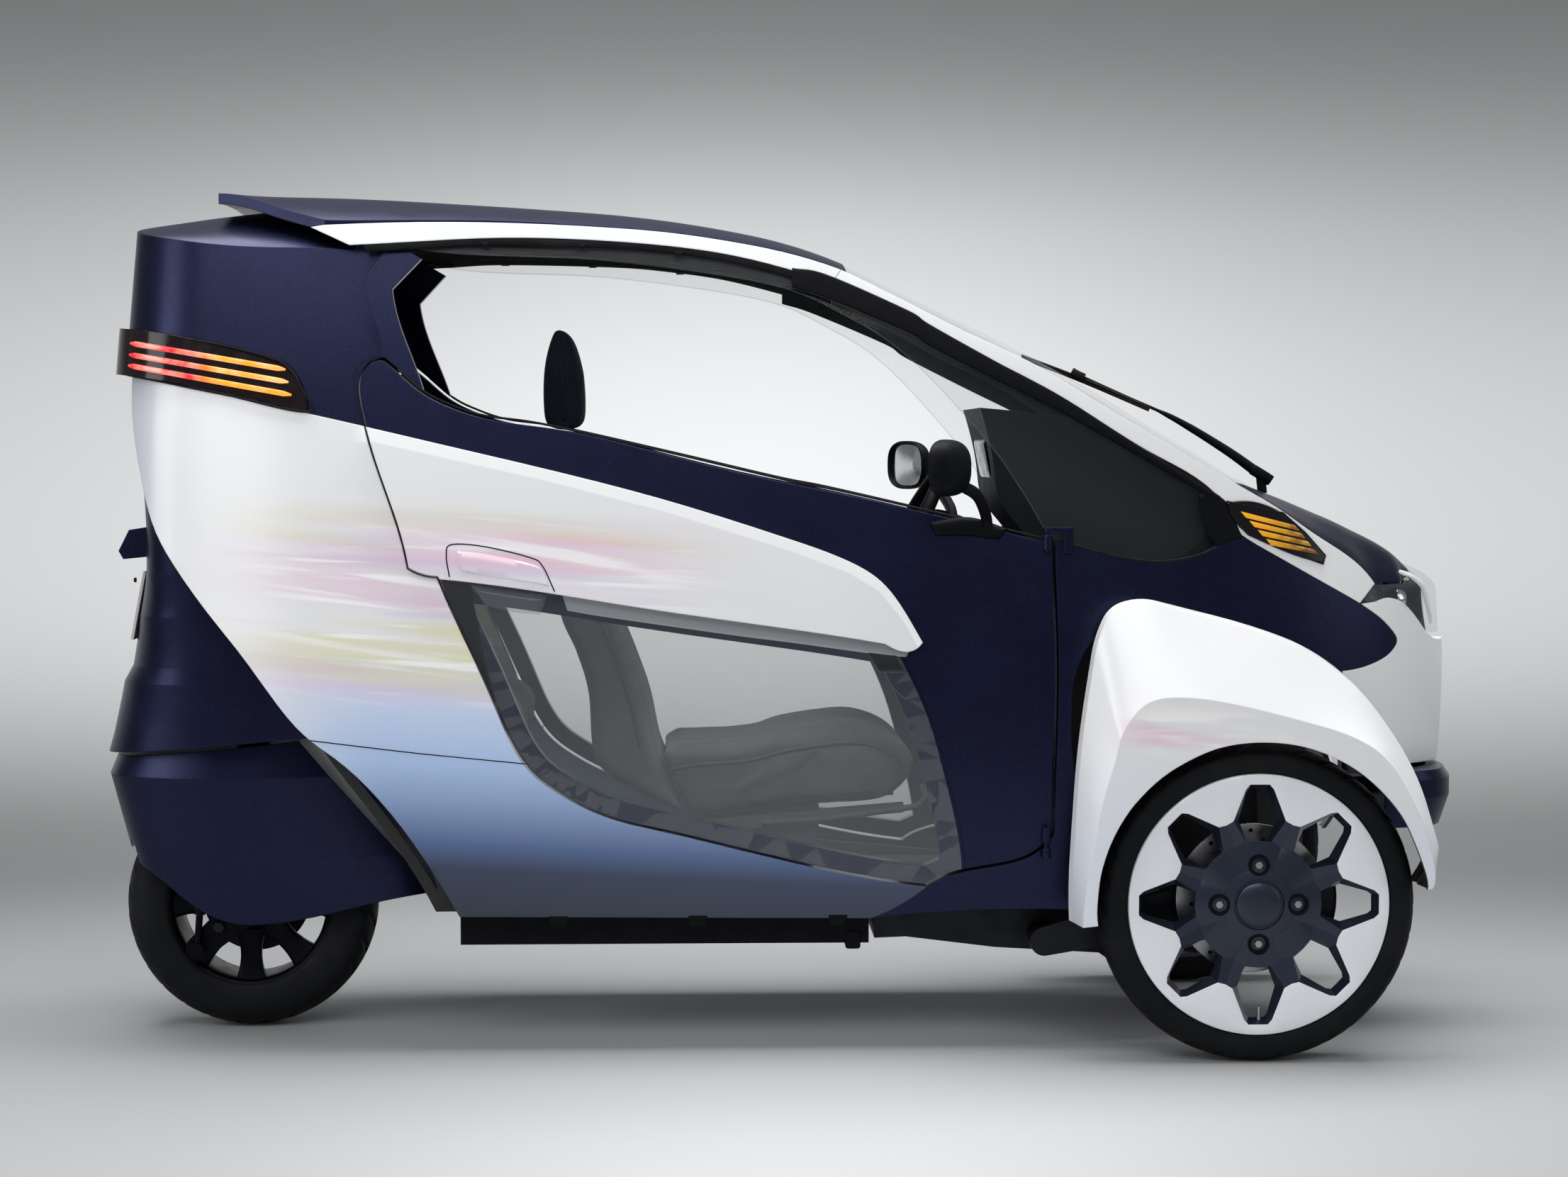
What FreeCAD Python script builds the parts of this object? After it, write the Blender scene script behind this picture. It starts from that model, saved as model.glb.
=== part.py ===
import FreeCAD, Part
import math
import os
from FreeCAD import Rotation, Vector

doc = FreeCAD.newDocument("three_wheeled_car")

# Driving dimensions, in millimetres and degrees
SIZES = {
    "wheelbase": 1700,
    "rear_axle_x": -930,
    "track": 700,
    "tail_x": -1175,
    "nose_x": 1175,
    "roof_z": 1445,
    "waist_z": 560,
    "sill_z": 232,
    "waist_half_width": 318,
    "roof_lean": 75,
    "sill_tuck": 33,
    "panel_wall": 32,
    "door_wall": 36,
    "shell_wall": 18,
    "pillar_wall": 34,
    "glass_wall": 6,
    "glass_border": 34,
    "shut_gap": 5,
    "seam": 0.3,
    "band_proud": 16,
    "front_tyre_radius": 263,
    "front_tyre_width": 88,
    "front_rim_radius": 216,
    "front_disc_wall": 12,
    "rear_tyre_radius": 218,
    "rear_tyre_width": 130,
    "rear_rim_radius": 138,
    "rim_wall": 7,
    "stub_radius": 15,
    "rear_pin_radius": 12,
    "running_fit": 0.05,
    "brake_radius": 112,
    "brake_wall": 6,
    "fender_half_width": 425,
    "fender_depth": 105,
    "fender_wall": 9,
    "fender_bevel": 60,
    "arch_radius": 271,
    "arm_pivot_x": 430,
    "arm_pivot_z": 186,
    "floor_wall": 20,
    "battery_height": 60,
    "battery_half_width": 232,
    "seat_half_width": 165,
    "bench_half_width": 190,
    "headrest_half_width": 62,
    "steering_radius": 140,
    "steering_grip": 13,
    "steering_lean": 28,
    "stem_radius": 28,
    "cover_half_width": 152,
    "cover_wall": 12,
    "plate_width": 200,
    "plate_height": 118,
    "plate_wall": 5,
    "mirror_y": 425,
    "mirror_half_width": 58,
    "hinge_x": 430,
    "hinge_y": 308,
    "hinge_pin_radius": 4,
    "hinge_boss_radius": 8,
}
sheet = doc.addObject("Spreadsheet::Sheet", "Sizes")
for row, (alias, value) in enumerate(SIZES.items(), 1):
    sheet.set(f"A{row}", alias)
    sheet.set(f"B{row}", str(value))
    sheet.setAlias(f"B{row}", alias)
doc.recompute()


def size(alias):
    return float(sheet.get(alias))


REAR_X = size("rear_axle_x")
FRONT_X = REAR_X + size("wheelbase")
WHEEL_Y = size("track") / 2
FRONT_R = size("front_tyre_radius")
REAR_R = size("rear_tyre_radius")
PANEL = size("panel_wall")
GAP = size("shut_gap")
SEAM = size("seam")
FIT = size("running_fit")

# The side view is drawn for these axle stations and heights, and stretched to the sheet's
DRAWN_REAR, DRAWN_FRONT = -930, 770
DRAWN_SILL, DRAWN_WAIST, DRAWN_ROOF = 232, 560, 1445


def station(x):
    """The x of a drawn point, for the wheelbase, tail and nose in the sheet."""
    if x <= DRAWN_REAR:
        return REAR_X + (x - DRAWN_REAR) * (REAR_X - size("tail_x")) / (DRAWN_REAR + 1175)
    if x >= DRAWN_FRONT:
        return FRONT_X + (x - DRAWN_FRONT) * (size("nose_x") - FRONT_X) / (1175 - DRAWN_FRONT)
    return REAR_X + (x - DRAWN_REAR) * (FRONT_X - REAR_X) / (DRAWN_FRONT - DRAWN_REAR)


def level(z):
    """The z of a drawn point, for the sill, waist and roof heights in the sheet."""
    sill, waist, roof = size("sill_z"), size("waist_z"), size("roof_z")
    if z <= DRAWN_SILL:
        return z + sill - DRAWN_SILL
    if z <= DRAWN_WAIST:
        return sill + (z - DRAWN_SILL) * (waist - sill) / (DRAWN_WAIST - DRAWN_SILL)
    return waist + (z - DRAWN_WAIST) * (roof - waist) / (DRAWN_ROOF - DRAWN_WAIST)


def between(value, points):
    """Straight-line reading of a curve given by its points."""
    if value <= points[0][0]:
        return points[0][1]
    for (x0, z0), (x1, z1) in zip(points, points[1:]):
        if value <= x1:
            return z0 + (z1 - z0) * (value - x0) / (x1 - x0)
    return points[-1][1]


# Body side: half width falls off towards the roof, the sill, the nose and the tail
TAPER_FROM, TAIL_FROM = 250, -600


def full_half_width(z):
    if z > DRAWN_WAIST:
        return size("waist_half_width") - size("roof_lean") * ((z - DRAWN_WAIST) / 840) ** 2
    return size("waist_half_width") - size("sill_tuck") * ((DRAWN_WAIST - z) / 328) ** 2


def nose_tip(z):
    return max(1172 - 50 * ((z - 620) / 400) ** 2, 1100)


def tail_tip(z):
    return -1152 + 30 * max(z - 1000, 0) / 400


def half_width(x, z):
    w = full_half_width(z)
    if x > TAPER_FROM:
        s = min((x - TAPER_FROM) / (nose_tip(z) - TAPER_FROM), 0.999)
        return w * (1 - s**2.4) ** 0.62
    if x < TAIL_FROM:
        s = min((TAIL_FROM - x) / (TAIL_FROM - tail_tip(z)), 0.999)
        return w * (1 - s**7) ** 0.4
    return w


def spread(low, high, count):
    return [low + (high - low) * i / (count - 1) for i in range(count)]


SIDE_X = spread(-1112, -640, 12) + spread(-600, 200, 5) + spread(250, 1082, 12)
SIDE_Z = spread(140, 1425, 10)


def skin(inset, depth):
    """The right body side between inset and inset + depth inside its outer surface."""
    grid = [[Vector(station(x), inset - half_width(x, z), level(z)) for z in SIDE_Z] for x in SIDE_X]
    surface = Part.BSplineSurface()
    surface.interpolate(grid)
    return surface.toShape().extrude(Vector(0, depth, 0))


def miter(before, here, after, distance):
    """A corner point moved to the left of the way it is passed, by distance from both sides."""
    a = (here - before).normalize()
    b = (after - here).normalize()
    left_a, left_b = Vector(-a.z, 0, a.x), Vector(-b.z, 0, b.x)
    return here + (left_a + left_b) * (distance / max(1 + left_a.dot(left_b), 0.35))


def side_wire(runs, shrink=0.0, y=0.0):
    """A closed outline in side view from runs of points, each a line or a smooth curve."""
    runs = [[Vector(station(x), 0, level(z)) for x, z in run] for run in runs]
    loop = [point for run in runs for point in run[:-1]]
    area = sum(a.x * b.z - b.x * a.z for a, b in zip(loop, loop[1:] + loop[:1]))
    move = shrink if area > 0 else -shrink
    if shrink:
        moved = [
            miter(loop[i - 1], loop[i], loop[(i + 1) % len(loop)], move) for i in range(len(loop))
        ]
        moved.append(moved[0])
        start = 0
        fresh = []
        for run in runs:
            fresh.append(moved[start : start + len(run)])
            start += len(run) - 1
        runs = fresh
    edges = []
    for run in runs:
        points = [Vector(p.x, y, p.z) for p in run]
        if len(points) == 2:
            edges.append(Part.makeLine(*points))
        else:
            curve = Part.BSplineCurve()
            curve.interpolate(points)
            edges.append(curve.toShape())
    return Part.Wire(edges)


def prism(runs, shrink=0.0, y0=-600.0, y1=0.0):
    """The outline's block from y0 to y1."""
    return Part.Face(side_wire(runs, shrink, y0)).extrude(Vector(0, y1 - y0, 0))


def corners(*points):
    """Straight-sided outline."""
    return [[a, b] for a, b in zip(points, points[1:] + points[:1])]


def mirrored(shape):
    return shape.mirror(Vector(0, 0, 0), Vector(0, 1, 0))


def pair(shape):
    return Part.makeCompound([shape, mirrored(shape)])


def across(runs, inset, shrink=0.0):
    """The outline's block from one body side's inset surface to the other's."""
    half = skin(inset, size("waist_half_width") + 20).common(prism(runs, shrink, -600, 60))
    return half.fuse(mirrored(half)).removeSplitter()


def plan_wire(z, inset, x_back, tip, half, power):
    """A level outline: flat at x_back, its round end at tip, half wide."""
    points = []
    for i in range(13):
        angle = math.pi * (i / 12 - 0.5)
        y = (half - inset) * math.sin(angle)
        reach = (1 - abs(math.sin(angle)) ** power) ** (1 / power) if 0 < i < 12 else 0
        inward = -inset if tip > x_back else inset
        points.append(Vector(x_back + (tip + inward - x_back) * reach, y, level(z)))
    curve = Part.BSplineCurve()
    curve.interpolate(points)
    return Part.Wire([curve.toShape(), Part.makeLine(points[-1], points[0])])


def plan_loft(levels, inset=0.0, ruled=False):
    """A solid through level outlines, each (z, x_back, tip, half, power)."""
    wires = [
        plan_wire(z, inset, station(back), station(tip), half, power)
        for z, back, tip, half, power in levels
    ]
    return Part.makeLoft(wires, True, ruled)


def rod(start, end, radius):
    return Part.makeCylinder(radius, (end - start).Length, start, end - start)


def link(x0, z0, r0, x1, z1, r1, y0, y1):
    """A flat bar between two round eyes, from y0 to y1."""
    wide = Vector(0, y1 - y0, 0)
    eyes = [
        Part.makeCylinder(radius, abs(y1 - y0), Vector(x, min(y0, y1), z), Vector(0, 1, 0))
        for x, z, radius in ((x0, z0, r0), (x1, z1, r1))
    ]
    along = Vector(x1 - x0, 0, z1 - z0).normalize()
    side = Vector(-along.z, 0, along.x)
    a, b = Vector(x0, y0, z0), Vector(x1, y0, z1)
    edge = [a + side * r0, b + side * r1, b - side * r1, a - side * r0, a + side * r0]
    bar = Part.Face(Part.makePolygon(edge)).extrude(wide)
    return bar.multiFuse(eyes).removeSplitter()


PARTS = []


def keep(label, shape):
    """A sub-part whose shape is worked out above."""
    part = doc.addObject("Part::Feature", label)
    part.Label = label
    part.Shape = shape
    PARTS.append(part)
    return part


# Outlines shared by neighbours, read in side view from the front or the back
DOOR_REAR = [(-667, 1161), (-692, 1153), (-707, 1130), (-709, 1100), (-698, 1047), (-680, 985)]
DOOR_REAR += [(-650, 900), (-627, 812)]
DOOR_STEP = [(-627, 812), (-609, 803), (-578, 797)]
DOOR_BOTTOM = [(-578, 797), (-540, 710), (-512, 650), (-480, 575), (-450, 510), (-420, 470)]
DOOR_BOTTOM += [(-380, 440), (-300, 400), (-200, 374), (-100, 349), (0, 324), (101, 301), (232, 280)]
DOOR_TOE = [(232, 280), (291, 305), (431, 351), (444, 371)]
DOOR_FRONT = [(444, 371), (445, 500), (448, 650), (445, 750), (442, 857)]
BELT = [(442, 857), (299, 892), (100, 938), (0, 958), (-200, 1005), (-400, 1050), (-502, 1065)]
BELT += [(-562, 1085), (-602, 1106), (-643, 1141), (-667, 1161)]
DOOR = [DOOR_REAR, DOOR_STEP, DOOR_BOTTOM, DOOR_TOE, DOOR_FRONT, BELT]
TAIL_EDGE = [(-1090, 1130), (-1088, 1061), (-1069, 960), (-1045, 879), (-1001, 805), (-949, 735)]
TAIL_EDGE += [(-898, 671), (-848, 601), (-788, 532), (-748, 502), (-698, 457), (-639, 386)]
TAIL_EDGE += [(-590, 311), (-546, 232)]
BAND_TOP = [(-698, 1047), (-400, 977), (-200, 925), (0, 862), (99, 825), (149, 795), (189, 746)]
BAND_TOP += [(221, 691)]
BAND_TIP = [(221, 691), (214, 683), (159, 689)]
BAND_LOW = [(159, 689), (0, 714), (-100, 728), (-300, 758), (-379, 771), (-578, 797)]
GLASS_FRONT = [(291, 305), (282, 374), (261, 463), (234, 558), (200, 637), (172, 689)]
RAIL_TOP = [(-767, 1380), (-501, 1385), (-301, 1377), (-200, 1369), (-100, 1355), (0, 1335), (90, 1307)]
RAIL_LOW = [(75, 1285), (0, 1308), (-100, 1332), (-200, 1346), (-300, 1354), (-501, 1358), (-601, 1353)]
RAIL_LOW += [(-724, 1346)]
PILLAR_TOP = [(90, 1307), (200, 1253), (299, 1203), (402, 1155), (502, 1097), (604, 1037), (707, 978)]
PILLAR_TOP += [(759, 949), (828, 911), (898, 865), (977, 815), (1012, 779)]
PILLAR_TONGUE = [(982, 746), (886, 797), (810, 838), (773, 859), (742, 884), (725, 927)]
PILLAR_LOW = [(725, 927), (706, 945), (603, 1005), (502, 1065), (401, 1125), (299, 1175), (200, 1229)]
PILLAR_LOW += [(75, 1285)]
WINDOW_EDGE = [(442, 857), (399, 925), (350, 1000), (300, 1060), (250, 1115), (201, 1163), (151, 1201)]
WINDOW_EDGE += [(101, 1229), (17, 1270), (-94, 1296), (-315, 1324), (-536, 1333), (-640, 1346)]
PILLAR = [PILLAR_TOP, [(1012, 779), (982, 746)], PILLAR_TONGUE, PILLAR_LOW, [(75, 1285), (90, 1307)]]
WINDOW_LOW = [(757, 867), (725, 849), (684, 831), (621, 822), (560, 828), (499, 843), (442, 857)]
OPENING_REAR = [(-667, 1161), (-676, 1202), (-696, 1263), (-698, 1293), (-687, 1314), (-650, 1350)]
OPENING_LIP = [(-655, 1274), (-646, 1228), (-630, 1182), (-602, 1106)]
TURN_LAMP = [
    [(738, 918), (770, 922), (838, 900), (880, 866), (916, 828)],
    [(916, 828), (910, 817)],
    [(910, 817), (885, 823), (820, 846), (775, 868)],
    [(775, 868), (750, 890), (738, 918)],
]
TAIL_LAMP_LOW = [(-1180, 1140), (-1090, 1130), (-791, 1070)]
TAIL_LAMP_FRONT = [(-791, 1070), (-802, 1115), (-822, 1145), (-853, 1161), (-906, 1176)]
TAIL_LAMP_TOP = [(-906, 1176), (-1011, 1197), (-1102, 1210), (-1180, 1216)]
TOE_EDGE = [(232, 280), (172, 240), (139, 226)]
WALL_FRONT = [(-808, 1060), (-790, 800), (-768, 548)]
SEAT_FOLD = [(-216, 490), (-160, 380)]
LINER = [(-588, 236), (-640, 330), (-710, 430), (-772, 515), (-790, 548)]


def body_shell():
    """Floor, sills, footwell walls and the sloping rear wall, in one pressed tub."""
    wall, inset = size("floor_wall"), PANEL
    deck = level(DRAWN_SILL) + 4
    flat = across(corners((-588, 236), (-588, 256), (900, 256), (900, 236)), inset)
    flat = flat.common(Part.makeBox(3000, 900, wall, Vector(-1500, -450, deck)))
    ledge = corners((-575, 240), (-600, 330), (-520, 385), (-300, 318), (452, 250), (452, 240))
    sill = skin(inset, wall).common(prism(ledge))
    step = 22
    outline = [
        LINER,
        [LINER[-1], (-812, 800)],
        [(-812, 800), (-830, 1060)],
        [(-830, 1060), WALL_FRONT[0]],
        [WALL_FRONT[0], WALL_FRONT[1]],
        [WALL_FRONT[1], WALL_FRONT[2]],
        [(x + step, z) for x, z in LINER][::-1],
        [(LINER[0][0] + step, LINER[0][1]), LINER[0]],
    ]
    rear = across(outline, inset)
    well = skin(inset + 50, wall * 0.7).common(
        prism(corners((450, 240), (450, 690), (560, 690), (900, 640), (900, 240)))
    )
    end = across(corners((884, 240), (884, 640), (900, 640), (900, 240)), inset + 50)
    hinge_post = across(corners((452, 240), (452, 800), (476, 800), (476, 240)), inset)
    hollow = across(corners((440, 262), (440, 830), (490, 830), (490, 262)), inset + 62)
    hinge_post = hinge_post.cut(hollow)
    tub = flat.multiFuse([sill, mirrored(sill), rear, well, mirrored(well), end, hinge_post])
    return tub.removeSplitter()


def quarter_panel():
    """White rear side with the sill below the door."""
    runs = [
        TAIL_EDGE,
        [(-546, 232), (139, 226)],
        TOE_EDGE[::-1],
        DOOR_BOTTOM[::-1],
        DOOR_STEP[::-1],
        DOOR_REAR[:3:-1],
        [(-698, 1047), (-902, 1092), (-1090, 1130)],
    ]
    return skin(0, PANEL).common(prism(runs))


def door_blank(inset, depth, shrink=GAP):
    return skin(inset, depth).common(prism(DOOR, shrink))


GLASS = [DOOR_BOTTOM, [(232, 280), (291, 305)], GLASS_FRONT, [(172, 689), (159, 689)], BAND_LOW]


def door_shell():
    """Door frame: belt, front post and the border behind the lower glass."""
    wall, glass = size("door_wall"), size("glass_wall")
    blank = door_blank(0, wall)
    rebate = skin(-5, glass + 5).common(prism(GLASS, -GAP - 1))
    opening = skin(-5, wall + 40).common(prism(GLASS, size("glass_border")))
    return blank.cut(rebate).cut(opening).fuse(hinge_sleeves()).cut(hinge_bores())


def door_glass():
    trimmed = prism(GLASS, SEAM).common(prism(DOOR, GAP))
    return skin(0, size("glass_wall")).common(trimmed)


def door_band():
    """White band standing proud of the door along the belt."""
    proud = size("band_proud")
    runs = [BAND_TOP, BAND_TIP, BAND_LOW, DOOR_STEP[::-1], DOOR_REAR[:3:-1]]
    return skin(-proud, proud).common(prism(runs, 0).common(prism(DOOR, GAP)))


def door_handle():
    """Pull under the flap, standing in from the band's lower edge."""
    runs = corners((-520, 786), (-500, 752), (-400, 738), (-384, 768))
    return skin(-size("band_proud") + 2, size("band_proud") - 2).common(prism(runs, 0))


def mirror_set():
    """Door mirror: foot on the belt, stalk and housing."""
    y, half = -size("mirror_y"), size("mirror_half_width")
    face = [[(226, 962), (231, 1000), (240, 1022)], [(303, 938), (231, 933)], [(231, 933), (226, 962)]]
    face.insert(1, [(240, 1022), (262, 1025), (284, 1010), (303, 986), (310, 962), (303, 938)])
    housing = prism(face, 0, y - half, y + half)
    rims = [edge for edge in housing.Edges if edge.optimalBoundingBox().YLength < 0.5]
    housing = housing.makeFillet(9, rims)
    foot_y = -half_width(300, 884)
    low = Vector(station(300), foot_y + 6, level(876))
    stalk = rod(low, Vector(station(300), y + half * 0.7, level(948)), 10)
    outline = [[(225, 884), (300, 900), (368, 872)], [(368, 872), (350, 858), (240, 868), (225, 884)]]
    foot = skin(-9, 9).common(prism(outline))
    return housing.fuse(stalk).cut(skin(-0.01, 80).common(prism(DOOR, GAP))).fuse(foot)


def rear_pod():
    """Boot pod above the tail lamps, with the pillar behind the doors."""
    runs = [
        TAIL_LAMP_TOP[::-1],
        TAIL_LAMP_FRONT[::-1],
        [(-791, 1070), (-698, 1047)],
        [(-698, 1047), (-709, 1100), (-707, 1130), (-692, 1153), (-667, 1161)],
        OPENING_REAR,
        [(-650, 1350), (-716, 1347)],
        [(-716, 1347), (-716, 1440)],
        [(-716, 1440), (-1180, 1440)],
        [(-1180, 1440), (-1180, 1216)],
    ]
    heights = (1040, 1120, 1200, 1300, 1440)
    levels = [(z, -640, tail_tip(z) + 24, full_half_width(z) - 4, 5) for z in heights]
    wall = size("shell_wall")
    outer = plan_loft(levels)
    block = prism(runs, 0, -400, 400)
    inner_levels = [(z, -600, tip, half, power) for z, back, tip, half, power in levels]
    inner = plan_loft(inner_levels, wall)
    above = crowned(DECK_CENTRE, DECK_EDGE, 2, -1180, -716, -200)
    shell = outer.common(block).cut(inner.cut(placed(above, 0, 0, -wall)))
    lip_runs = [OPENING_REAR, [(-650, 1350), (-607, 1325)], [(-607, 1325), (-655, 1274)], OPENING_LIP]
    lip_runs.append([(-602, 1106), (-643, 1141), (-667, 1161)])
    lip = skin(16, 20).common(prism(lip_runs))
    high = across(corners((-830, 1200), (-830, 1364), (-815, 1364), (-815, 1200)), wall + 4)
    low = across(corners((-830, 1084), (-830, 1205), (-815, 1205), (-815, 1084)), wall + 40)
    pod = shell.multiFuse([lip, mirrored(lip), high, low]).cut(above)
    return pod.cut(placed(roof_sheet(), 0, 0, -SEAM))


def rear_lamps():
    """Wrap-round tail lamps, one at each rear corner."""
    heights = (1040, 1130, 1220)
    levels = [(z, -700, tail_tip(z) + 9, full_half_width(z) + 4, 5) for z in heights]
    ring = plan_loft(levels).cut(plan_loft(levels, size("shell_wall") + 4))
    runs = [TAIL_LAMP_LOW, TAIL_LAMP_FRONT, TAIL_LAMP_TOP, [(-1180, 1216), (-1180, 1140)]]
    return ring.common(prism(runs, SEAM, -400, -70))


# Tail panel's level outlines: height, open front, rear end, half width and squareness
PANEL_LEVELS = [
    (478, -770, -1173, 205, 3.2),
    (523, -796, -1160, 205, 3.2),
    (612, -860, -1140, 205, 3.2),
    (640, -880, -1124, 205, 3.2),
    (726, -940, -1108, 205, 3.4),
    (800, -985, -1093, 208, 3.6),
    (880, -1010, -1088, 212, 4),
    (1060, -1010, -1100, 202, 4),
    (1195, -1010, -1104, 192, 4),
]


def rear_panel():
    """Dark centre of the tail with the plate lamp's hood, closed round at the back."""
    levels = PANEL_LEVELS
    wall = size("shell_wall")
    outer = plan_loft(levels, 0, True)
    inner = plan_loft([(z, back + 60, tip, half, p) for z, back, tip, half, p in levels], wall, True)
    floor = Part.makeBox(3000, 900, wall, Vector(-1500, -450, level(523)))
    below = prism(corners((-1250, 400), (-1250, 482), (-700, 533), (-700, 400)), 0, -400, 400)
    shell = outer.cut(inner).fuse(outer.common(floor)).cut(below)
    stem = Part.makeCylinder(size("stem_radius") + GAP, 200, Vector(REAR_X, 0, level(500)))
    hood = prism(corners((-1080, 878), (-1118, 872), (-1136, 836), (-1128, 822), (-1086, 826)), 0, -120, 120)
    return shell.cut(stem).fuse(hood)


def number_plate():
    """Blank plate, leaning with the panel behind it."""
    wide, high, thick = size("plate_width"), size("plate_height"), size("plate_wall")
    low_z = level(683)
    tips = [(z, station(tip)) for z, back, tip, half, power in PANEL_LEVELS]
    low_x, high_x = between(683, tips), between(683 + high, tips)
    plate = Part.makeBox(thick, wide, high, Vector(-thick, -wide / 2, 0))
    plate.rotate(Vector(0, 0, 0), Vector(0, 1, 0), math.degrees(math.atan2(high_x - low_x, high)))
    plate.translate(Vector(low_x - SEAM, 0, low_z))
    return plate.cut(rear_panel())


def crowned(centre, edge, inset, low_x, high_x, depth):
    """A sheet arched from side to side between its two edge lines, depth thick."""
    grid = []
    for x in spread(low_x, high_x, 12):
        wide = half_width(x, between(x, edge)) - inset
        row = []
        for t in spread(-1, 1, 9):
            z = between(x, centre) - (between(x, centre) - between(x, edge)) * abs(t) ** 2.2
            row.append(Vector(station(x), t * wide, level(z)))
        grid.append(row)
    surface = Part.BSplineSurface()
    surface.interpolate(grid)
    return surface.toShape().extrude(Vector(0, 0, -depth))


DECK_CENTRE = [(-1180, 1375), (-1125, 1384), (-965, 1409), (-800, 1430), (-716, 1432)]
DECK_EDGE = [(-1180, 1384), (-1077, 1367), (-725, 1306), (-716, 1304)]
ROOF_CENTRE = [(-955, 1445), (-729, 1442), (-518, 1430), (-308, 1416), (-202, 1404), (-97, 1387)]
ROOF_CENTRE += [(9, 1363), (103, 1329)]
ROOF_EDGE = [(-955, 1432), (-896, 1408), (-812, 1388), (-767, 1382), (-501, 1387), (-301, 1379)]
ROOF_EDGE += [(-200, 1371), (-100, 1357), (0, 1337), (103, 1302)]
SCREEN_CENTRE = [(90, 1333), (328, 1221), (434, 1167), (540, 1109), (646, 1045), (752, 982), (800, 954)]
SCREEN_EDGE = [(90, 1307), (200, 1253), (299, 1203), (402, 1155), (502, 1097), (604, 1037), (707, 978)]
SCREEN_EDGE += [(800, 926)]
BONNET_CENTRE = [(795, 952), (874, 923), (964, 886), (1040, 850), (1086, 821), (1104, 800)]
BONNET_EDGE = [(795, 929), (828, 911), (898, 865), (977, 815), (1012, 779), (1104, 760)]


def roof_sheet():
    return crowned(ROOF_CENTRE, ROOF_EDGE, 2, -955, 98, size("shell_wall"))


def roof_panel():
    plan = [(-960, -150), (-900, -176), (-767, -232), (-400, -240), (110, -260)]
    ring = [Vector(station(x), y, 0) for x, y in plan]
    ring += [Vector(p.x, -p.y, 0) for p in reversed(ring)]
    outline = Part.Face(Part.makePolygon(ring + ring[:1])).extrude(Vector(0, 0, 2000))
    return roof_sheet().common(outline)


def roof_block():
    return crowned(ROOF_CENTRE, ROOF_EDGE, 2, -955, 98, 60)


def roof_rail():
    runs = [RAIL_TOP, [(90, 1307), (75, 1285)], RAIL_LOW, [(-724, 1346), (-789, 1376)]]
    runs.append([(-789, 1376), (-767, 1380)])
    rail = skin(0, size("pillar_wall")).common(prism(runs, SEAM))
    return rail.cut(roof_block())


def front_pillar():
    pocket = skin(-10, 34).common(prism(TURN_LAMP, -SEAM))
    solid = skin(0, size("pillar_wall")).common(prism(PILLAR, SEAM))
    return solid.cut(pocket).cut(roof_block())


def turn_lamp():
    return skin(-3, 22).common(prism(TURN_LAMP, SEAM))


def pillar_room():
    """The space both pillars take, reaching out past the body side."""
    room = skin(-60, 60 + size("pillar_wall")).common(prism(PILLAR, -SEAM))
    return room.fuse(mirrored(room))


def windscreen():
    return crowned(SCREEN_CENTRE, SCREEN_EDGE, 4, 104, 792, size("glass_wall") + 2).cut(pillar_room())


def side_window():
    """Clear side panel from the roof rail down to the front side panel."""
    runs = [
        WINDOW_EDGE,
        [(-640, 1346), (-601, 1353)],
        RAIL_LOW[-2::-1],
        PILLAR_LOW[::-1],
        PILLAR_TONGUE[:3:-1],
        [(742, 884), (757, 867)],
        WINDOW_LOW,
    ]
    outline = prism(runs, SEAM).cut(prism(PILLAR, -SEAM))
    return skin(13, size("glass_wall")).common(outline)


def hinge_places():
    """Heights of the two door pivots: just above the toe edge and just under the belt."""
    return level(345), level(872)


def hinge_lugs():
    """Fixed half of the two door pivots, with their pins."""
    x, y = station(size("hinge_x")), -size("hinge_y")
    pin, boss = size("hinge_pin_radius"), size("hinge_boss_radius")
    low, high = hinge_places()
    foot = Part.makeCylinder(boss, 16, Vector(x, y, low - 16))
    reach = station(472) - x
    arm = Part.makeBox(reach, 2 * boss - 4, 8, Vector(x, y - boss + 4, high))
    arm = arm.fuse(Part.makeCylinder(boss, 8, Vector(x, y, high)))
    leg = Part.makeBox(16, 2 * boss - 4, 40, Vector(x + reach - 16, y - boss + 4, high - 34))
    pins = [Part.makeCylinder(pin, 34, Vector(x, y, z)) for z in (low, high - 34)]
    return foot.multiFuse([arm, leg] + pins)


def hinge_sleeves():
    """Moving half of the two door pivots, before their bores are drilled."""
    x, y = station(size("hinge_x")), -size("hinge_y")
    boss = size("hinge_boss_radius")
    low, high = hinge_places()
    sleeve = Part.makeCylinder(boss, 24, Vector(x, y, low + GAP + 6))
    return sleeve.fuse(Part.makeCylinder(boss, 24, Vector(x, y, high - 24 - GAP)))


def hinge_bores():
    x, y = station(size("hinge_x")), -size("hinge_y")
    low, high = hinge_places()
    bore = size("hinge_pin_radius") + FIT
    hole = Part.makeCylinder(bore, 44, Vector(x, y, low - 2))
    return hole.fuse(Part.makeCylinder(bore, 44, Vector(x, y, high - 36)))


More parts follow.
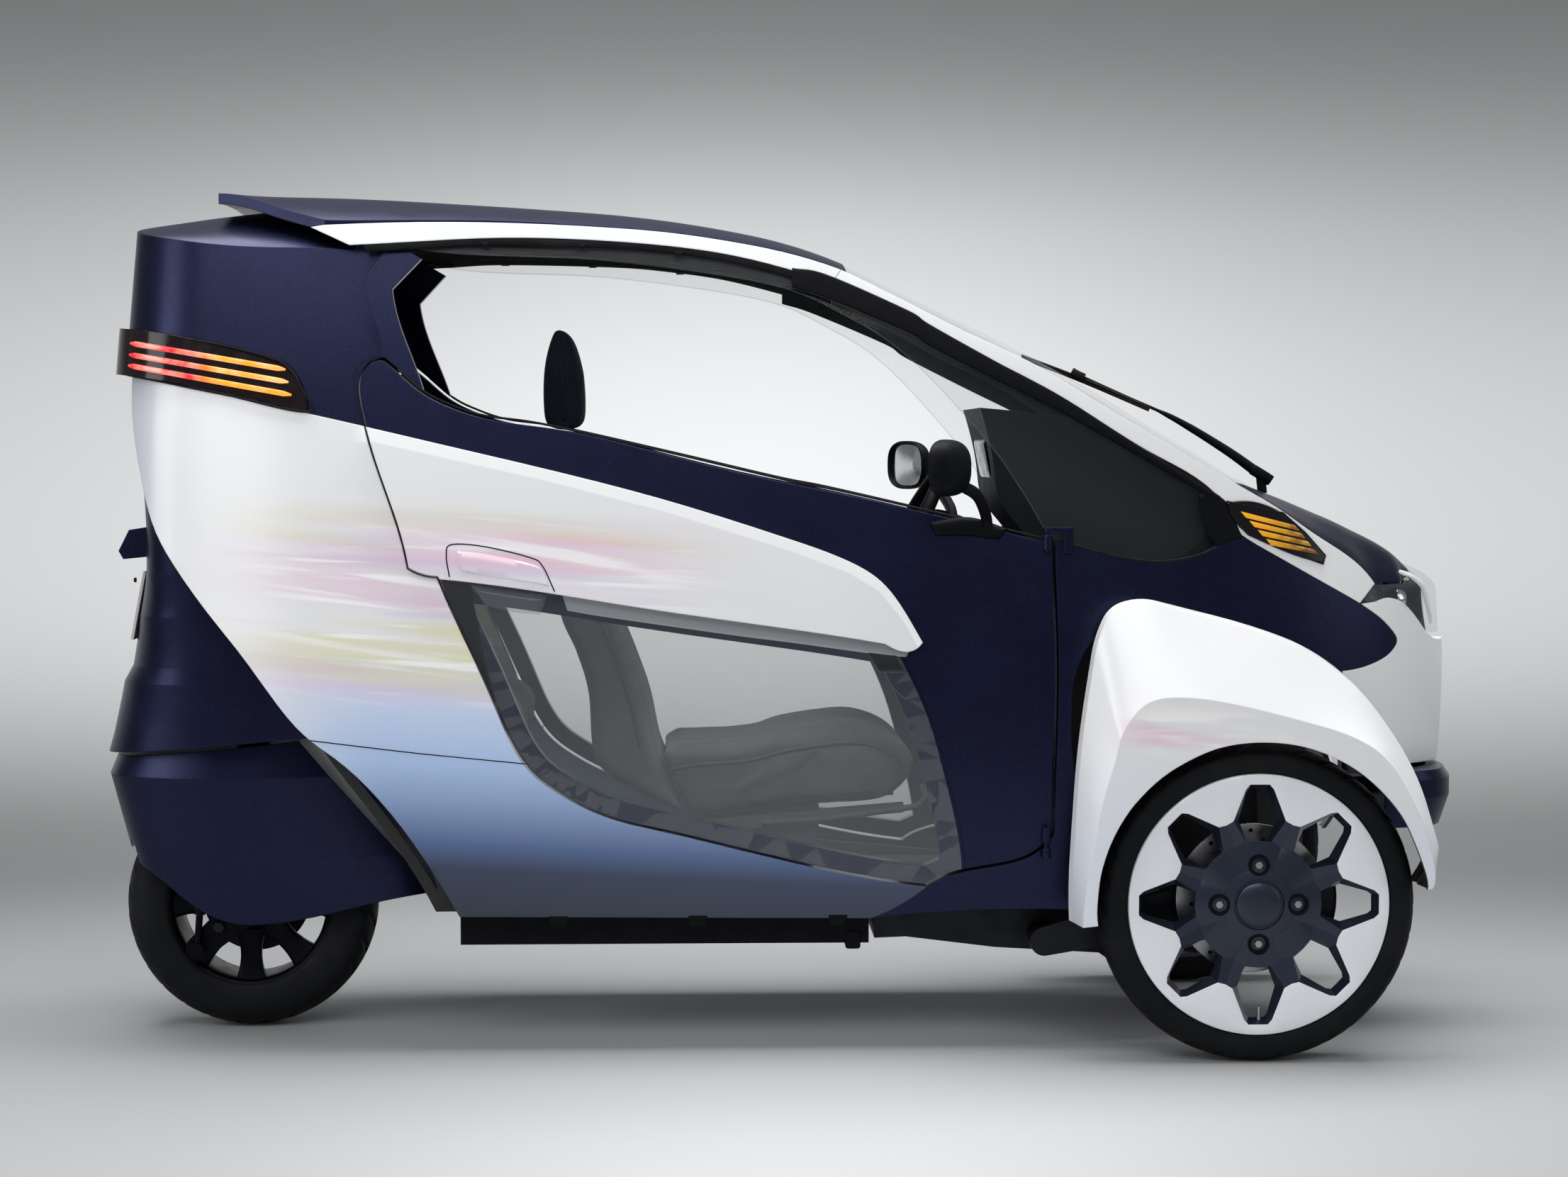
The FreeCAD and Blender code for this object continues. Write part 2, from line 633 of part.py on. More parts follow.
def front_side_panel():
    """Dark panel between the door and the nose, with the wheel opening's edge."""
    runs = [
        WINDOW_LOW,
        [(442, 857), (446, 750), (449, 650), (446, 500), (444, 371)],
        DOOR_TOE[::-1],
        TOE_EDGE,
        [(139, 226), (250, 236), (485, 237)],
        [(485, 237), (522, 398)],
        [(522, 398), (486, 449), (472, 520), (471, 580), (476, 630), (491, 669), (511, 694), (542, 704)],
        [(542, 704), (700, 690), (850, 650), (948, 632)],
        [(948, 632), (983, 636), (1018, 646), (1045, 661), (1057, 681), (1048, 696), (1018, 723), (978, 747)],
        [(978, 747), (886, 797), (810, 838), (773, 859), (757, 867)],
    ]
    return skin(0, PANEL).common(prism(runs, SEAM)).fuse(hinge_lugs())


FRONT_HEIGHTS = (330, 430, 540, 640, 740, 840)


def front_solid(inset):
    """The nose's form behind its outer surface, from level outlines."""
    wires = []
    for z in FRONT_HEIGHTS:
        tip, wide = nose_tip(z), full_half_width(z)
        points = []
        for i in range(13):
            angle = math.pi * (i / 12 - 0.5)
            share = math.sin(angle) * 0.72
            reach = (1 - abs(share) ** (1 / 0.62)) ** (1 / 2.4)
            x = station(TAPER_FROM + (tip - TAPER_FROM) * reach) - inset
            points.append(Vector(x, share * wide * (1 - inset / wide), level(z)))
        curve = Part.BSplineCurve()
        curve.interpolate(points)
        back = Vector(station(830), points[0].y, level(z)), Vector(station(830), points[-1].y, level(z))
        edges = [
            curve.toShape(),
            Part.makeLine(points[-1], back[1]),
            Part.makeLine(back[1], back[0]),
            Part.makeLine(back[0], points[0]),
        ]
        wires.append(Part.Wire(edges))
    return Part.makeLoft(wires, True, False)


def nose_cap():
    runs = [
        [(1200, 690), (1126, 689), (1092, 726), (1061, 749), (1014, 748)],
        [(1014, 748), (984, 745)],
        [(984, 745), (1018, 723), (1048, 696), (1057, 681), (1045, 661), (1018, 646), (983, 636), (948, 632)],
        [(948, 632), (945, 560)],
        [(945, 560), (985, 500), (1060, 464)],
        [(1060, 464), (1200, 460)],
        [(1200, 460), (1200, 690)],
    ]
    shell = front_solid(0).cut(front_solid(size("shell_wall")))
    return shell.common(prism(runs, SEAM, -300, 300))


def bonnet():
    lid = crowned(BONNET_CENTRE, BONNET_EDGE, 4, 801, 1100, size("shell_wall"))
    outline = corners((780, 700), (780, 1000), (1104, 1000), (1104, 780), (1030, 780), (980, 700))
    return lid.cut(pillar_room()).common(prism(outline, 0, -400, 400))


def headlamp():
    runs = [
        [(1030, 779), (1104, 779)],
        [(1104, 779), (1121, 782), (1180, 741)],
        [(1180, 741), (1180, 689)],
        [(1180, 689), (1126, 689), (1092, 726), (1061, 749), (1014, 748)],
        [(1014, 748), (1030, 779)],
    ]
    return front_solid(0).common(prism(runs, SEAM, -175, -45))


def lower_bumper():
    levels = [
        (358, 1030, 1158, 168, 2.6),
        (408, 1030, 1175, 176, 2.6),
        (440, 1030, 1175, 176, 2.6),
        (456, 1030, 1164, 172, 2.6),
    ]
    outer = plan_loft(levels, 0, True)
    inner = plan_loft([(z, 900, tip, half, p) for z, back, tip, half, p in levels], 24, True)
    shell = outer.cut(inner)
    stay = Part.makeBox(station(1150) - station(900), 40, 30, Vector(station(900), -20, level(400)))
    beam = Part.makeBox(16, 330, 40, Vector(station(1034), -165, level(395)))
    return shell.multiFuse([stay, beam]).removeSplitter()


def ray(turn, reach):
    """A drawn point at that angle and distance from the front axle."""
    return 770 + reach * math.cos(math.radians(turn)), 263 + reach * math.sin(math.radians(turn))


# Mudguard stations from the front toe over the top to the rear foot: the outer edge, the
# crease along its flat side, and the angle where that side meets the wheel arch
FENDER = [
    (ray(6, 283), ray(6, 279), 6),
    ((1077, 356), (1049, 340), 16),
    ((1061, 411), (1030, 405), 30),
    ((1030, 490), (1001, 462), 41),
    ((989, 556), (960, 515), 52),
    ((930, 626), (900, 548), 64),
    ((850, 684), (815, 573), 79),
    ((750, 722), (725, 595), 96),
    ((640, 751), (640, 607), 114),
    ((575, 763), (592, 603), 129),
    ((533, 750), (566, 588), 140),
    ((511, 717), (545, 560), 147),
    ((496, 655), (532, 525), 154),
    ((482, 560), (514, 462), 162),
    ((470, 430), (497, 385), 170),
    ((464, 330), (484, 312), 178),
    (ray(186, 308), ray(186, 296), 186),
]


def fender():
    """Front mudguard: a flat side round the wheel, bevelled up to a crowned top."""
    hub = Vector(FRONT_X, 0, FRONT_R)
    out, depth = -size("fender_half_width"), size("fender_depth")
    bevel, wall, arch = size("fender_bevel"), size("fender_wall"), size("arch_radius")

    def at(point, y, inset):
        arm = Vector(station(point[0]), 0, level(point[1])) - hub
        place = hub + arm * (1 - inset / arm.Length)
        return Vector(place.x, y, place.z)

    rings = []
    for rim, crease, turn in FENDER:
        c, s = math.cos(math.radians(turn)), math.sin(math.radians(turn))
        edge = [hub + Vector(arch * c, y, arch * s) for y in (out, out + wall)]
        outside = [at(rim, out + depth, 9), at(rim, out + bevel + 22, 0), at(rim, out + bevel, 4)]
        outside.append(at(crease, out, 0))
        inside = [at(crease, out + wall, wall / 2), at(rim, out + bevel + 4, wall + 4)]
        inside += [at(rim, out + bevel + 22, wall), at(rim, out + depth, wall + 9)]
        ring = outside + edge + inside
        rings.append(Part.makePolygon(ring + ring[:1]))
    return Part.makeLoft(rings, True, False, False, 2)


def suspension_arm():
    """Leaning trailing arm with its pivot carrier under the floor."""
    inner = -WHEEL_Y + size("front_tyre_width") / 2 + 16
    px, pz = station(size("arm_pivot_x")), size("arm_pivot_z")
    arm = link(FRONT_X, FRONT_R, 44, px, pz, 24, inner, inner + 28)
    tube = rod(Vector(px, inner, pz), Vector(px, -60, pz), 20)
    outline = corners((150, 236), (150, 178), (204, 180), (356, 161), (540, 150), (560, 236))
    carrier = prism(outline, SEAM, -200, -16)
    return arm.fuse(tube).fuse(carrier)


def knuckle():
    """Hub carrier with stub axle, brake caliper and the mudguard's stay."""
    inner = -WHEEL_Y + size("front_tyre_width") / 2 + 16
    disc_y = -WHEEL_Y + 34

    def drum(radius, wide, y):
        return Part.makeCylinder(radius, wide, Vector(FRONT_X, y, FRONT_R), Vector(0, 1, 0))

    carrier = drum(46, 14, inner - 14)
    stub = drum(size("stub_radius"), 64, inner - 14 - 64)
    reach = size("brake_radius")
    caliper = Part.makeBox(44, 36, 74, Vector(FRONT_X + reach - 34, disc_y - 18, FRONT_R - 37))
    slot = drum(reach + 6, size("brake_wall") + 10, disc_y - size("brake_wall") / 2 - 5)
    arm = link(FRONT_X, FRONT_R, 24, FRONT_X + reach - 12, FRONT_R, 20, inner - 10, inner)
    fender_top = level(697)
    stay = link(FRONT_X, FRONT_R, 20, FRONT_X - 10, fender_top, 14, inner - 8, inner)
    seat_y = -size("fender_half_width") + size("fender_depth")
    shelf = rod(Vector(FRONT_X - 10, inner, fender_top), Vector(FRONT_X - 10, seat_y - 30, fender_top), 12)
    return carrier.multiFuse([stub, caliper.cut(slot), arm, stay, shelf.cut(fender())]).removeSplitter()


def front_seat():
    half = size("seat_half_width")
    base = [
        [(-216, 490), (-205, 505), (-150, 505), (-60, 512), (4, 529), (106, 542), (168, 534)]
        + [(209, 508), (229, 478)],
        [(229, 478), (224, 442), (162, 406)],
        [(162, 406), (-160, 380)],
        SEAT_FOLD[::-1],
    ]
    return prism(base, 0, -half, half)


def seat_back():
    half = size("seat_half_width")
    runs = [
        [(-216, 490), (-237, 580), (-262, 652), (-298, 749), (-330, 900), (-342, 1041)],
        [(-342, 1041), (-415, 1041)],
        [(-415, 1041), (-400, 900), (-385, 739), (-355, 662), (-334, 590), (-320, 470)],
        [(-320, 470), (-250, 420)],
        [(-250, 420), (-160, 380)],
        SEAT_FOLD[::-1],
    ]
    return prism(runs, SEAM, -half, half)


def headrest():
    half = size("headrest_half_width")
    runs = [
        [(-340, 1041), (-351, 1165), (-366, 1206), (-387, 1216), (-402, 1211), (-418, 1154), (-421, 1041)],
        [(-421, 1041), (-340, 1041)],
    ]
    return prism(runs, 0, -half, half)


def seat_frame():
    """Pedestal and rails that carry the front seat."""
    half = size("seat_half_width") - 30
    rail = prism(corners((-150, 372), (-150, 356), (205, 384), (205, 400)), 0, -half, -half + 24)
    foot_z = level(DRAWN_SILL) + 4 + size("floor_wall")
    post = Part.makeBox(170, 200, level(394) - foot_z, Vector(station(-110), -100, foot_z))
    cross = prism(corners((-150, 372), (-150, 350), (-40, 358), (-40, 380)), 0, -half, half)
    under = corners((320, 419), (-320, 367), (-320, 600), (320, 600))
    return post.multiFuse([rail, mirrored(rail), cross]).cut(prism(under, -SEAM, -300, 300))


def rear_seat():
    half = size("bench_half_width")
    runs = [
        [(-440, 560), (-455, 590), (-500, 604), (-640, 590), (-690, 620)],
        [(-690, 620), (-735, 800), (-765, 1060)],
        [(-765, 1060), WALL_FRONT[0]],
        WALL_FRONT[:2],
        WALL_FRONT[1:],
        [WALL_FRONT[2], (-700, 480), (-600, 440), (-480, 440)],
        [(-480, 440), (-440, 560)],
    ]
    return prism(runs, SEAM, -half, half)


def dashboard():
    shelf = corners((478, 696), (600, 696), (624, 740), (640, 815), (500, 835), (420, 850), (405, 800))
    low = across(shelf, PANEL + 62 + SEAM)
    hood = prism(
        [
            [(333, 1080), (416, 1072), (518, 1051), (640, 985), (735, 925)],
            [(735, 925), (720, 860), (500, 800), (420, 800)],
            [(420, 800), (405, 870), (368, 920), (358, 975), (344, 1044), (333, 1080)],
        ],
        0,
        -150,
        150,
    )
    return low.fuse(hood).removeSplitter()


WHEEL_X, WHEEL_Z = 215, 850


def steering_parts():
    """Steering wheel and the column between it and the dashboard."""
    ring_r, grip = size("steering_radius"), size("steering_grip")
    ring = Part.makeTorus(ring_r, grip)
    hub = Part.makeCylinder(38, 34, Vector(0, 0, -6))
    spokes = [Part.makeBox(ring_r - 4, 26, 10, Vector(2, -13, 4)) for _ in range(3)]
    for spoke, turn in zip(spokes, (0, 180, 90)):
        spoke.rotate(Vector(0, 0, 0), Vector(0, 0, 1), turn)
    wheel = ring.multiFuse([hub] + spokes).removeSplitter()
    column = Part.makeCylinder(26, 215, Vector(0, 0, 28 + SEAM))
    tilt = Rotation(Vector(0, 1, 0), 90 + size("steering_lean")).multiply(Rotation(Vector(0, 0, 1), -90))
    place = FreeCAD.Placement(Vector(station(WHEEL_X), 0, level(WHEEL_Z)), tilt)
    wheel.Placement = place
    column.Placement = place
    return wheel, column.cut(dashboard())


def wiper():
    """Cowl piece, pivot, arm and blade lying along the screen."""
    outline = [[(800, 940), (812, 966), (850, 952), (880, 930)], [(880, 930), (870, 915), (800, 940)]]
    cowl = prism(outline, 0, -70, 10)
    pivot = Vector(station(845), -30, level(958))
    elbow = Vector(station(690), -24, level(1066))
    clip = Vector(station(516), -10, level(1146))
    tip = Vector(station(410), 30, level(1186))
    tail = Vector(station(610), -50, level(1096))
    pieces = [rod(pivot, elbow, 6), rod(elbow, clip, 4), rod(tail, tip, 4.5), Part.makeSphere(8, elbow)]
    pieces.append(Part.makeCylinder(9, 50, Vector(pivot.x, pivot.y, pivot.z - 40)))
    below = crowned(BONNET_CENTRE, BONNET_EDGE, 4, 801, 1100, 150)
    return cowl.multiFuse(pieces).cut(below.fuse(placed(windscreen(), 0, 0, SEAM)))


def rear_frame(tub):
    """Steering head block with its two arms to the rear wall."""
    bore = size("stem_radius") + FIT
    base = level(523) + size("shell_wall") + SEAM
    block = Part.makeCylinder(62, 80, Vector(REAR_X, 0, base))
    arm = Part.makeBox(station(-786) - REAR_X, 30, 60, Vector(REAR_X, -52, base))
    solid = block.multiFuse([arm, mirrored(arm)]).cut(tub)
    hole = Part.makeCylinder(bore, 400, Vector(REAR_X, 0, base - 100))
    return solid.cut(hole).removeSplitter()


def steer_fork():
    """Stem, yoke, two legs and the axle pin, with the right leg's damper bracket."""
    half = size("rear_tyre_width") / 2 + 10
    top = level(480)
    stem = Part.makeCylinder(size("stem_radius"), level(523) + 110 - top + 20, Vector(REAR_X, 0, top - 20))
    yoke = Part.makeBox(150, 2 * half + 28, 24, Vector(REAR_X - 75, -half - 14, top - 24))
    leg = link(REAR_X, top - 26, 24, REAR_X, REAR_R, 30, -half - 14, -half)
    bracket = link(REAR_X, REAR_R, 30, REAR_X - 83, REAR_R - 71, 22, -half - 14, -half)
    pin = Part.makeCylinder(size("rear_pin_radius"), 2 * half, Vector(REAR_X, -half, REAR_R), Vector(0, 1, 0))
    return stem.multiFuse([yoke, leg, mirrored(leg), bracket, pin]).removeSplitter()


def damper_ends():
    """Lower eye and upper end of the damper beside the right leg."""
    y = -size("rear_tyre_width") / 2 - 10 - 14 - 11 - SEAM
    return Vector(REAR_X - 83, y, REAR_R - 71), Vector(REAR_X - 60, y, level(455))


def rear_damper():
    low, high = damper_ends()
    eye = Part.makeCylinder(13, 22, Vector(low.x, low.y - 11, low.z), Vector(0, 1, 0))
    part_way = low + (high - low) * 0.42
    return eye.multiFuse([rod(low, high, 6), rod(part_way, high, 11)])


COVER_LOW = [(-1200, 330), (-1132, 303), (-1072, 268), (-1031, 236), (-979, 206)]
COVER_LOW += [(-927, 193), (-896, 193), (-824, 201), (-720, 222), (-606, 236)]
COVER_FRONT = [(-606, 236), (-832, 510)]


def rear_cover():
    """Steered cover over the rear wheel, open below and behind for the tyre."""
    wide, wall = size("cover_half_width"), size("cover_wall")
    shapes = [
        (180, -1104, 0.80),
        (307, -1138, 0.91),
        (448, -1175, 1.0),
        (520, -1145, 0.93),
    ]

    def form(inset):
        wires = []
        for z, tail, share in shapes:
            front = -600 if z < 400 else -640
            points = []
            for i in range(17):
                angle = 2 * math.pi * i / 16
                c, s = math.cos(angle), math.sin(angle)
                if c >= 0:
                    reach = station(front) - REAR_X - inset
                    x, y = reach * c, (wide * share - inset) * (abs(s) ** 0.62) * (1 if s > 0 else -1)
                    y *= 1 - 0.25 * c
                else:
                    reach = REAR_X - station(tail) - inset
                    x, y = reach * c, (wide * share - inset) * (abs(s) ** 0.75) * (1 if s > 0 else -1)
                points.append(Vector(REAR_X + x, y, level(z)))
            curve = Part.BSplineCurve()
            curve.interpolate(Points=points[:-1], PeriodicFlag=True, Parameters=spread(0, 1, 17))
            wires.append(Part.Wire([curve.toShape()]))
        return Part.makeLoft(wires, True, True)

    runs = [COVER_LOW, COVER_FRONT, [COVER_FRONT[1], (-1200, 476)], [(-1200, 476), COVER_LOW[0]]]
    outer = form(0).common(prism(runs, 0, -400, 400))
    room = prism(corners((-1300, 150), (-560, 150), (-848, 495), (-1300, 452)), 0, -400, 400)
    shell = outer.cut(form(wall).common(room))
    width = size("rear_tyre_width") + 16
    tyre = Part.makeCylinder(REAR_R + 12, width, Vector(REAR_X, -width / 2, REAR_R), Vector(0, 1, 0))
    behind = Part.makeBox(600, 400, 600, Vector(REAR_X - 600, -200, 0))
    stem = Part.makeCylinder(size("stem_radius") + SEAM, 200, Vector(REAR_X, 0, level(440)))
    low, high = damper_ends()
    return shell.cut(tyre.common(behind)).cut(stem).cut(rod(low, high, 11 + SEAM))


def tyre_body(label, radius, width, rim, wheel_y, axle_x):
    """Tyre as a revolved section: bead, rounded sidewalls and a shallow crown."""
    r, w, bead = size(radius), size(width), size(rim)
    wall = (r - bead) * 0.5
    body = doc.addObject("PartDesign::Body", label)
    body.Label = label
    sketch = body.newObject("Sketcher::SketchObject", label + "_section")
    plane = [f for f in body.Origin.OriginFeatures if f.Role == "YZ_Plane"][0]
    sketch.AttachmentSupport = [(plane, "")]
    sketch.MapMode = "FlatFace"
    seat, shoulder = w / 2 - 6, r - wall * 0.34
    left, right = Vector(-seat, bead, 0), Vector(seat, bead, 0)
    high_l, high_r = Vector(-w / 2 + 5, shoulder, 0), Vector(w / 2 - 5, shoulder, 0)
    sketch.addGeometry(Part.LineSegment(left, right))
    sketch.addGeometry(Part.Arc(right, Vector(w / 2, bead + wall * 0.9, 0), high_r))
    sketch.addGeometry(Part.Arc(high_r, Vector(0, r, 0), high_l))
    sketch.addGeometry(Part.Arc(high_l, Vector(-w / 2, bead + wall * 0.9, 0), left))
    turn = body.newObject("PartDesign::Revolution", label + "_turn")
    turn.Profile = sketch
    turn.ReferenceAxis = (sketch, ["H_Axis"])
    turn.Angle = 360
    body.Placement = FreeCAD.Placement(Vector(axle_x, wheel_y, r), Rotation())
    body.setExpression("Placement.Base.z", f"Sizes.{radius}")
    PARTS.append(body)
    return body


def star_slot(y0, y1):
    """One window of the star: narrow at the rim, widest part way in, narrower at the hub."""
    half = [(198, 16), (190, 23), (138, 41), (75, 21)]
    ring = [Vector(wide, y0, out) for out, wide in half]
    ring += [Vector(-p.x, y0, p.z) for p in reversed(ring)]
    return Part.Face(Part.makePolygon(ring + ring[:1])).extrude(Vector(0, y1 - y0, 0))


def front_rim():
    """Right front wheel: barrel, star disc, hub and brake disc, about the axle."""
    r, half = size("front_rim_radius"), size("front_tyre_width") / 2
    axis, wall = Vector(0, 1, 0), size("front_disc_wall")

    def drum(radius, y0, y1):
        return Part.makeCylinder(radius, y1 - y0, Vector(0, y0, 0), axis)

    barrel = drum(r, -half + 3, half - 6).cut(drum(r - size("rim_wall"), -half, half))
    face = drum(r - 0.5, -half + 1, -half + 1 + wall)
    centre = drum(58, -half - 2, 20).fuse(drum(36, -half - 5, -half))
    slots = []
    for i in range(8):
        slots.append(star_slot(-half - 5, 0))
        slots[-1].rotate(Vector(0, 0, 0), axis, 45 * i)
    face = face.multiFuse([centre, barrel]).cut(Part.makeCompound(slots))
    disc_y = 34
    thick = size("brake_wall")
    disc = drum(size("brake_radius"), disc_y - thick / 2, disc_y + thick / 2).fuse(drum(48, 10, disc_y))
    rim = face.fuse(disc).cut(drum(size("stub_radius") + FIT, -half + 14, 60))
    return rim.removeSplitter()


def rear_rim():
    """Rear wheel: barrel, eight spokes and hub about the axle."""
    r, half = size("rear_rim_radius"), size("rear_tyre_width") / 2
    axis = Vector(0, 1, 0)

    def drum(radius, y0, y1):
        return Part.makeCylinder(radius, y1 - y0, Vector(0, y0, 0), axis)

    barrel = drum(r, -half + 8, half - 8).cut(drum(r - size("rim_wall"), -half, half))
    hub = drum(46, -half + 6, half - 6)
    spokes = []
    for i in range(8):
        bar = Part.makeBox(30, 22, r - 4, Vector(-15, -38, 0))
        bar.rotate(Vector(0, 0, 0), axis, 45 * i)
        spokes.append(bar)
    solid = hub.multiFuse([barrel] + spokes)
    return solid.cut(drum(size("rear_pin_radius") + FIT, -half - 10, half + 10)).removeSplitter()


def placed(shape, x, y, z):
    shape = shape.copy()
    shape.translate(Vector(x, y, z))
    return shape


# Fixed body
floor_tub = keep("floor_tub", body_shell())
battery = doc.addObject("Part::Box", "battery_box")
battery.Label = "battery_box"
battery.setExpression("Width", "2 * Sizes.battery_half_width")
battery.setExpression("Height", "Sizes.battery_height")
battery.Length = station(139) - station(-549)
battery.Placement = FreeCAD.Placement(Vector(station(-549), 0, 0), Rotation())
battery.setExpression("Placement.Base.y", "-Sizes.battery_half_width")
battery.setExpression("Placement.Base.z", "Sizes.sill_z + 4 - Sizes.battery_height")
PARTS.append(battery)

right_quarter = quarter_panel()
keep("rear_quarters", pair(right_quarter))
keep("rear_pod", rear_pod())
keep("tail_lamps", pair(rear_lamps()))
keep("rear_panel", rear_panel())
keep("number_plate", number_plate())
keep("roof_panel", roof_panel())
keep("roof_rails", pair(roof_rail()))
keep("front_pillars", pair(front_pillar()))
keep("windscreen", windscreen())
keep("side_windows", pair(side_window()))
keep("front_side_panels", pair(front_side_panel()))
keep("nose_cap", nose_cap())
keep("bonnet", bonnet())
keep("headlamps", pair(headlamp()))
keep("turn_lamps", pair(turn_lamp()))
keep("lower_bumper", lower_bumper())
keep("front_fenders", pair(fender()))
keep("suspension_arms", pair(suspension_arm()))
keep("knuckles", pair(knuckle()))
keep("front_seat_base", front_seat())
keep("front_seat_back", seat_back())
keep("front_headrest", headrest())
keep("seat_frame", seat_frame())
keep("rear_seat", rear_seat())
keep("dashboard", dashboard())
keep("wiper", wiper())
keep("rear_frame", rear_frame(floor_tub.Shape))
turning_wheel, steering_column = steering_parts()
keep("steering_column", steering_column)
keep("steering_wheel", turning_wheel)

# Doors
door_pieces = {
    "shell": door_shell(),
    "glass": door_glass(),
    "band": door_band(),
    "handle": door_handle(),
    "mirror": mirror_set(),
}
for piece, shape in door_pieces.items():
    keep("door_right_" + piece, shape)
    keep("door_left_" + piece, mirrored(shape))

# Steered rear end
keep("steer_fork", steer_fork())
keep("rear_damper", rear_damper())
keep("rear_cover", rear_cover())

# Wheels
right_rim = front_rim()
keep("front_right_rim", placed(right_rim, FRONT_X, -WHEEL_Y, FRONT_R))
keep("front_left_rim", placed(mirrored(right_rim), FRONT_X, WHEEL_Y, FRONT_R))
keep("rear_rim", placed(rear_rim(), REAR_X, 0, REAR_R))
tyre_body("front_right_tyre", "front_tyre_radius", "front_tyre_width", "front_rim_radius", -WHEEL_Y, FRONT_X)
tyre_body("front_left_tyre", "front_tyre_radius", "front_tyre_width", "front_rim_radius", WHEEL_Y, FRONT_X)
tyre_body("rear_tyre", "rear_tyre_radius", "rear_tyre_width", "rear_rim_radius", 0, REAR_X)

doc.recompute()
for part in PARTS:
    if {"Invalid", "Error"} & set(part.State) or part.Shape.isNull() or not part.Shape.isValid():
        raise RuntimeError(f"{part.Label} has no valid shape")

os.makedirs("parts", exist_ok=True)
for part in PARTS:
    part.Shape.exportStep(f"parts/{part.Label}.step")
    box = part.Shape.BoundBox
    print(
        f"{part.Label:22s} solids {len(part.Shape.Solids):2d} volume {part.Shape.Volume / 1e6:8.3f} l "
        f"x {box.XMin:6.0f} {box.XMax:6.0f} y {box.YMin:6.0f} {box.YMax:6.0f} z {box.ZMin:6.0f} {box.ZMax:6.0f}"
    )
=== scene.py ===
"""Looks of a narrow tandem three wheeled car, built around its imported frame.

Lengths are in metres. Side view points are written in millimetres as (x, z) pairs and scaled once.
"""

import math

import bmesh
import bpy
import numpy as np
from bpy.props import FloatProperty, FloatVectorProperty, PointerProperty
from bpy.types import Operator, Panel, PropertyGroup
from mathutils import Euler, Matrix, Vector


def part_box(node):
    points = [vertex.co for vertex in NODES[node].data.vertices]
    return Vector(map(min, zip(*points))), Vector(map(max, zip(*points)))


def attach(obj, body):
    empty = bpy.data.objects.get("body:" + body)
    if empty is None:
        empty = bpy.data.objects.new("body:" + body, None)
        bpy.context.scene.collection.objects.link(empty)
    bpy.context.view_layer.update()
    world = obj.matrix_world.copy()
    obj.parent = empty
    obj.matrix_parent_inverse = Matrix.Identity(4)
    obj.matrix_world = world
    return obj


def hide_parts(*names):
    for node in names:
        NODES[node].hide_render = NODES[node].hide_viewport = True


bl_info = {
    "name": "Three wheeled car",
    "version": (1, 0, 0),
    "blender": (4, 5, 0),
    "location": "View3D > Sidebar > Car",
    "description": "Paint, glass, lamps, wheels and seats of a narrow tandem car",
    "category": "Object",
}

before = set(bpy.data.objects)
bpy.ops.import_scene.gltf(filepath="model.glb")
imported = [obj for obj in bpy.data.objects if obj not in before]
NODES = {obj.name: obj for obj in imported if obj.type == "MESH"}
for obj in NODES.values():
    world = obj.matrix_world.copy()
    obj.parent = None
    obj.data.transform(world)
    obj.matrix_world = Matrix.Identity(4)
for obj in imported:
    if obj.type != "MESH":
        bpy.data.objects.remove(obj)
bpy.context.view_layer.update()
MM = 0.001
FRONT_AXLE = np.array([0.77, -0.35, 0.263])
REAR_AXLE = np.array([-0.93, 0, 0.218])

# Tyres: radius, half width and bead radius
FRONT_TYRE = (0.263, 0.0438, 0.216)
REAR_TYRE = (0.218, 0.0648, 0.138)

# Black of linings, and painted shade on edges that face away from the light
LINING_AND_SHADE = (0.006, 0.006, 0.007)

# How much of the wanted floor tone its paper has, because the lamps brighten it
FLOOR_SHARE = 0.7


# Curves and surfaces


def smooth(points, count, closed=False):
    """Points spread evenly along a curve through the given points.

    Each stretch is the Catmull-Rom cubic of its four neighbours; the curve is then walked by its
    length so that the points come out evenly spaced."""
    p = np.asarray(points, float)
    if closed:
        q = np.concatenate([p[-1:], p, p[:2]])
    else:
        q = np.concatenate([2 * p[:1] - p[1:2], p, 2 * p[-1:] - p[-2:-1]])
    t = np.linspace(0, 1, 24, endpoint=False)[None, :, None]
    a, b, c, d = (q[i : len(q) - 3 + i, None, :] for i in range(4))
    curve = 0.5 * (2 * b + (c - a) * t + (2 * a - 5 * b + 4 * c - d) * t**2 + (3 * b - a - 3 * c + d) * t**3)
    curve = curve.reshape(-1, p.shape[1])
    curve = np.concatenate([curve, q[-2:-1]])
    return even(curve, count, closed)


def even(curve, count, closed=False):
    """The same line with count points at even steps of its length."""
    walked = np.concatenate([[0], np.cumsum(np.linalg.norm(np.diff(curve, axis=0), axis=1))])
    at = np.linspace(0, walked[-1], count, endpoint=not closed)
    return np.stack([np.interp(at, walked, curve[:, k]) for k in range(curve.shape[1])], axis=1)


def upper_width(z):
    """Half width in mm of the body above its waist, at the height z in mm."""
    return 318 - 75 * ((z - 560) / 840) ** 2


def nose_tip(z):
    """How far ahead the body's nose reaches in mm, at the height z in mm."""
    return 1172 - 50 * ((z - 620) / 400) ** 2


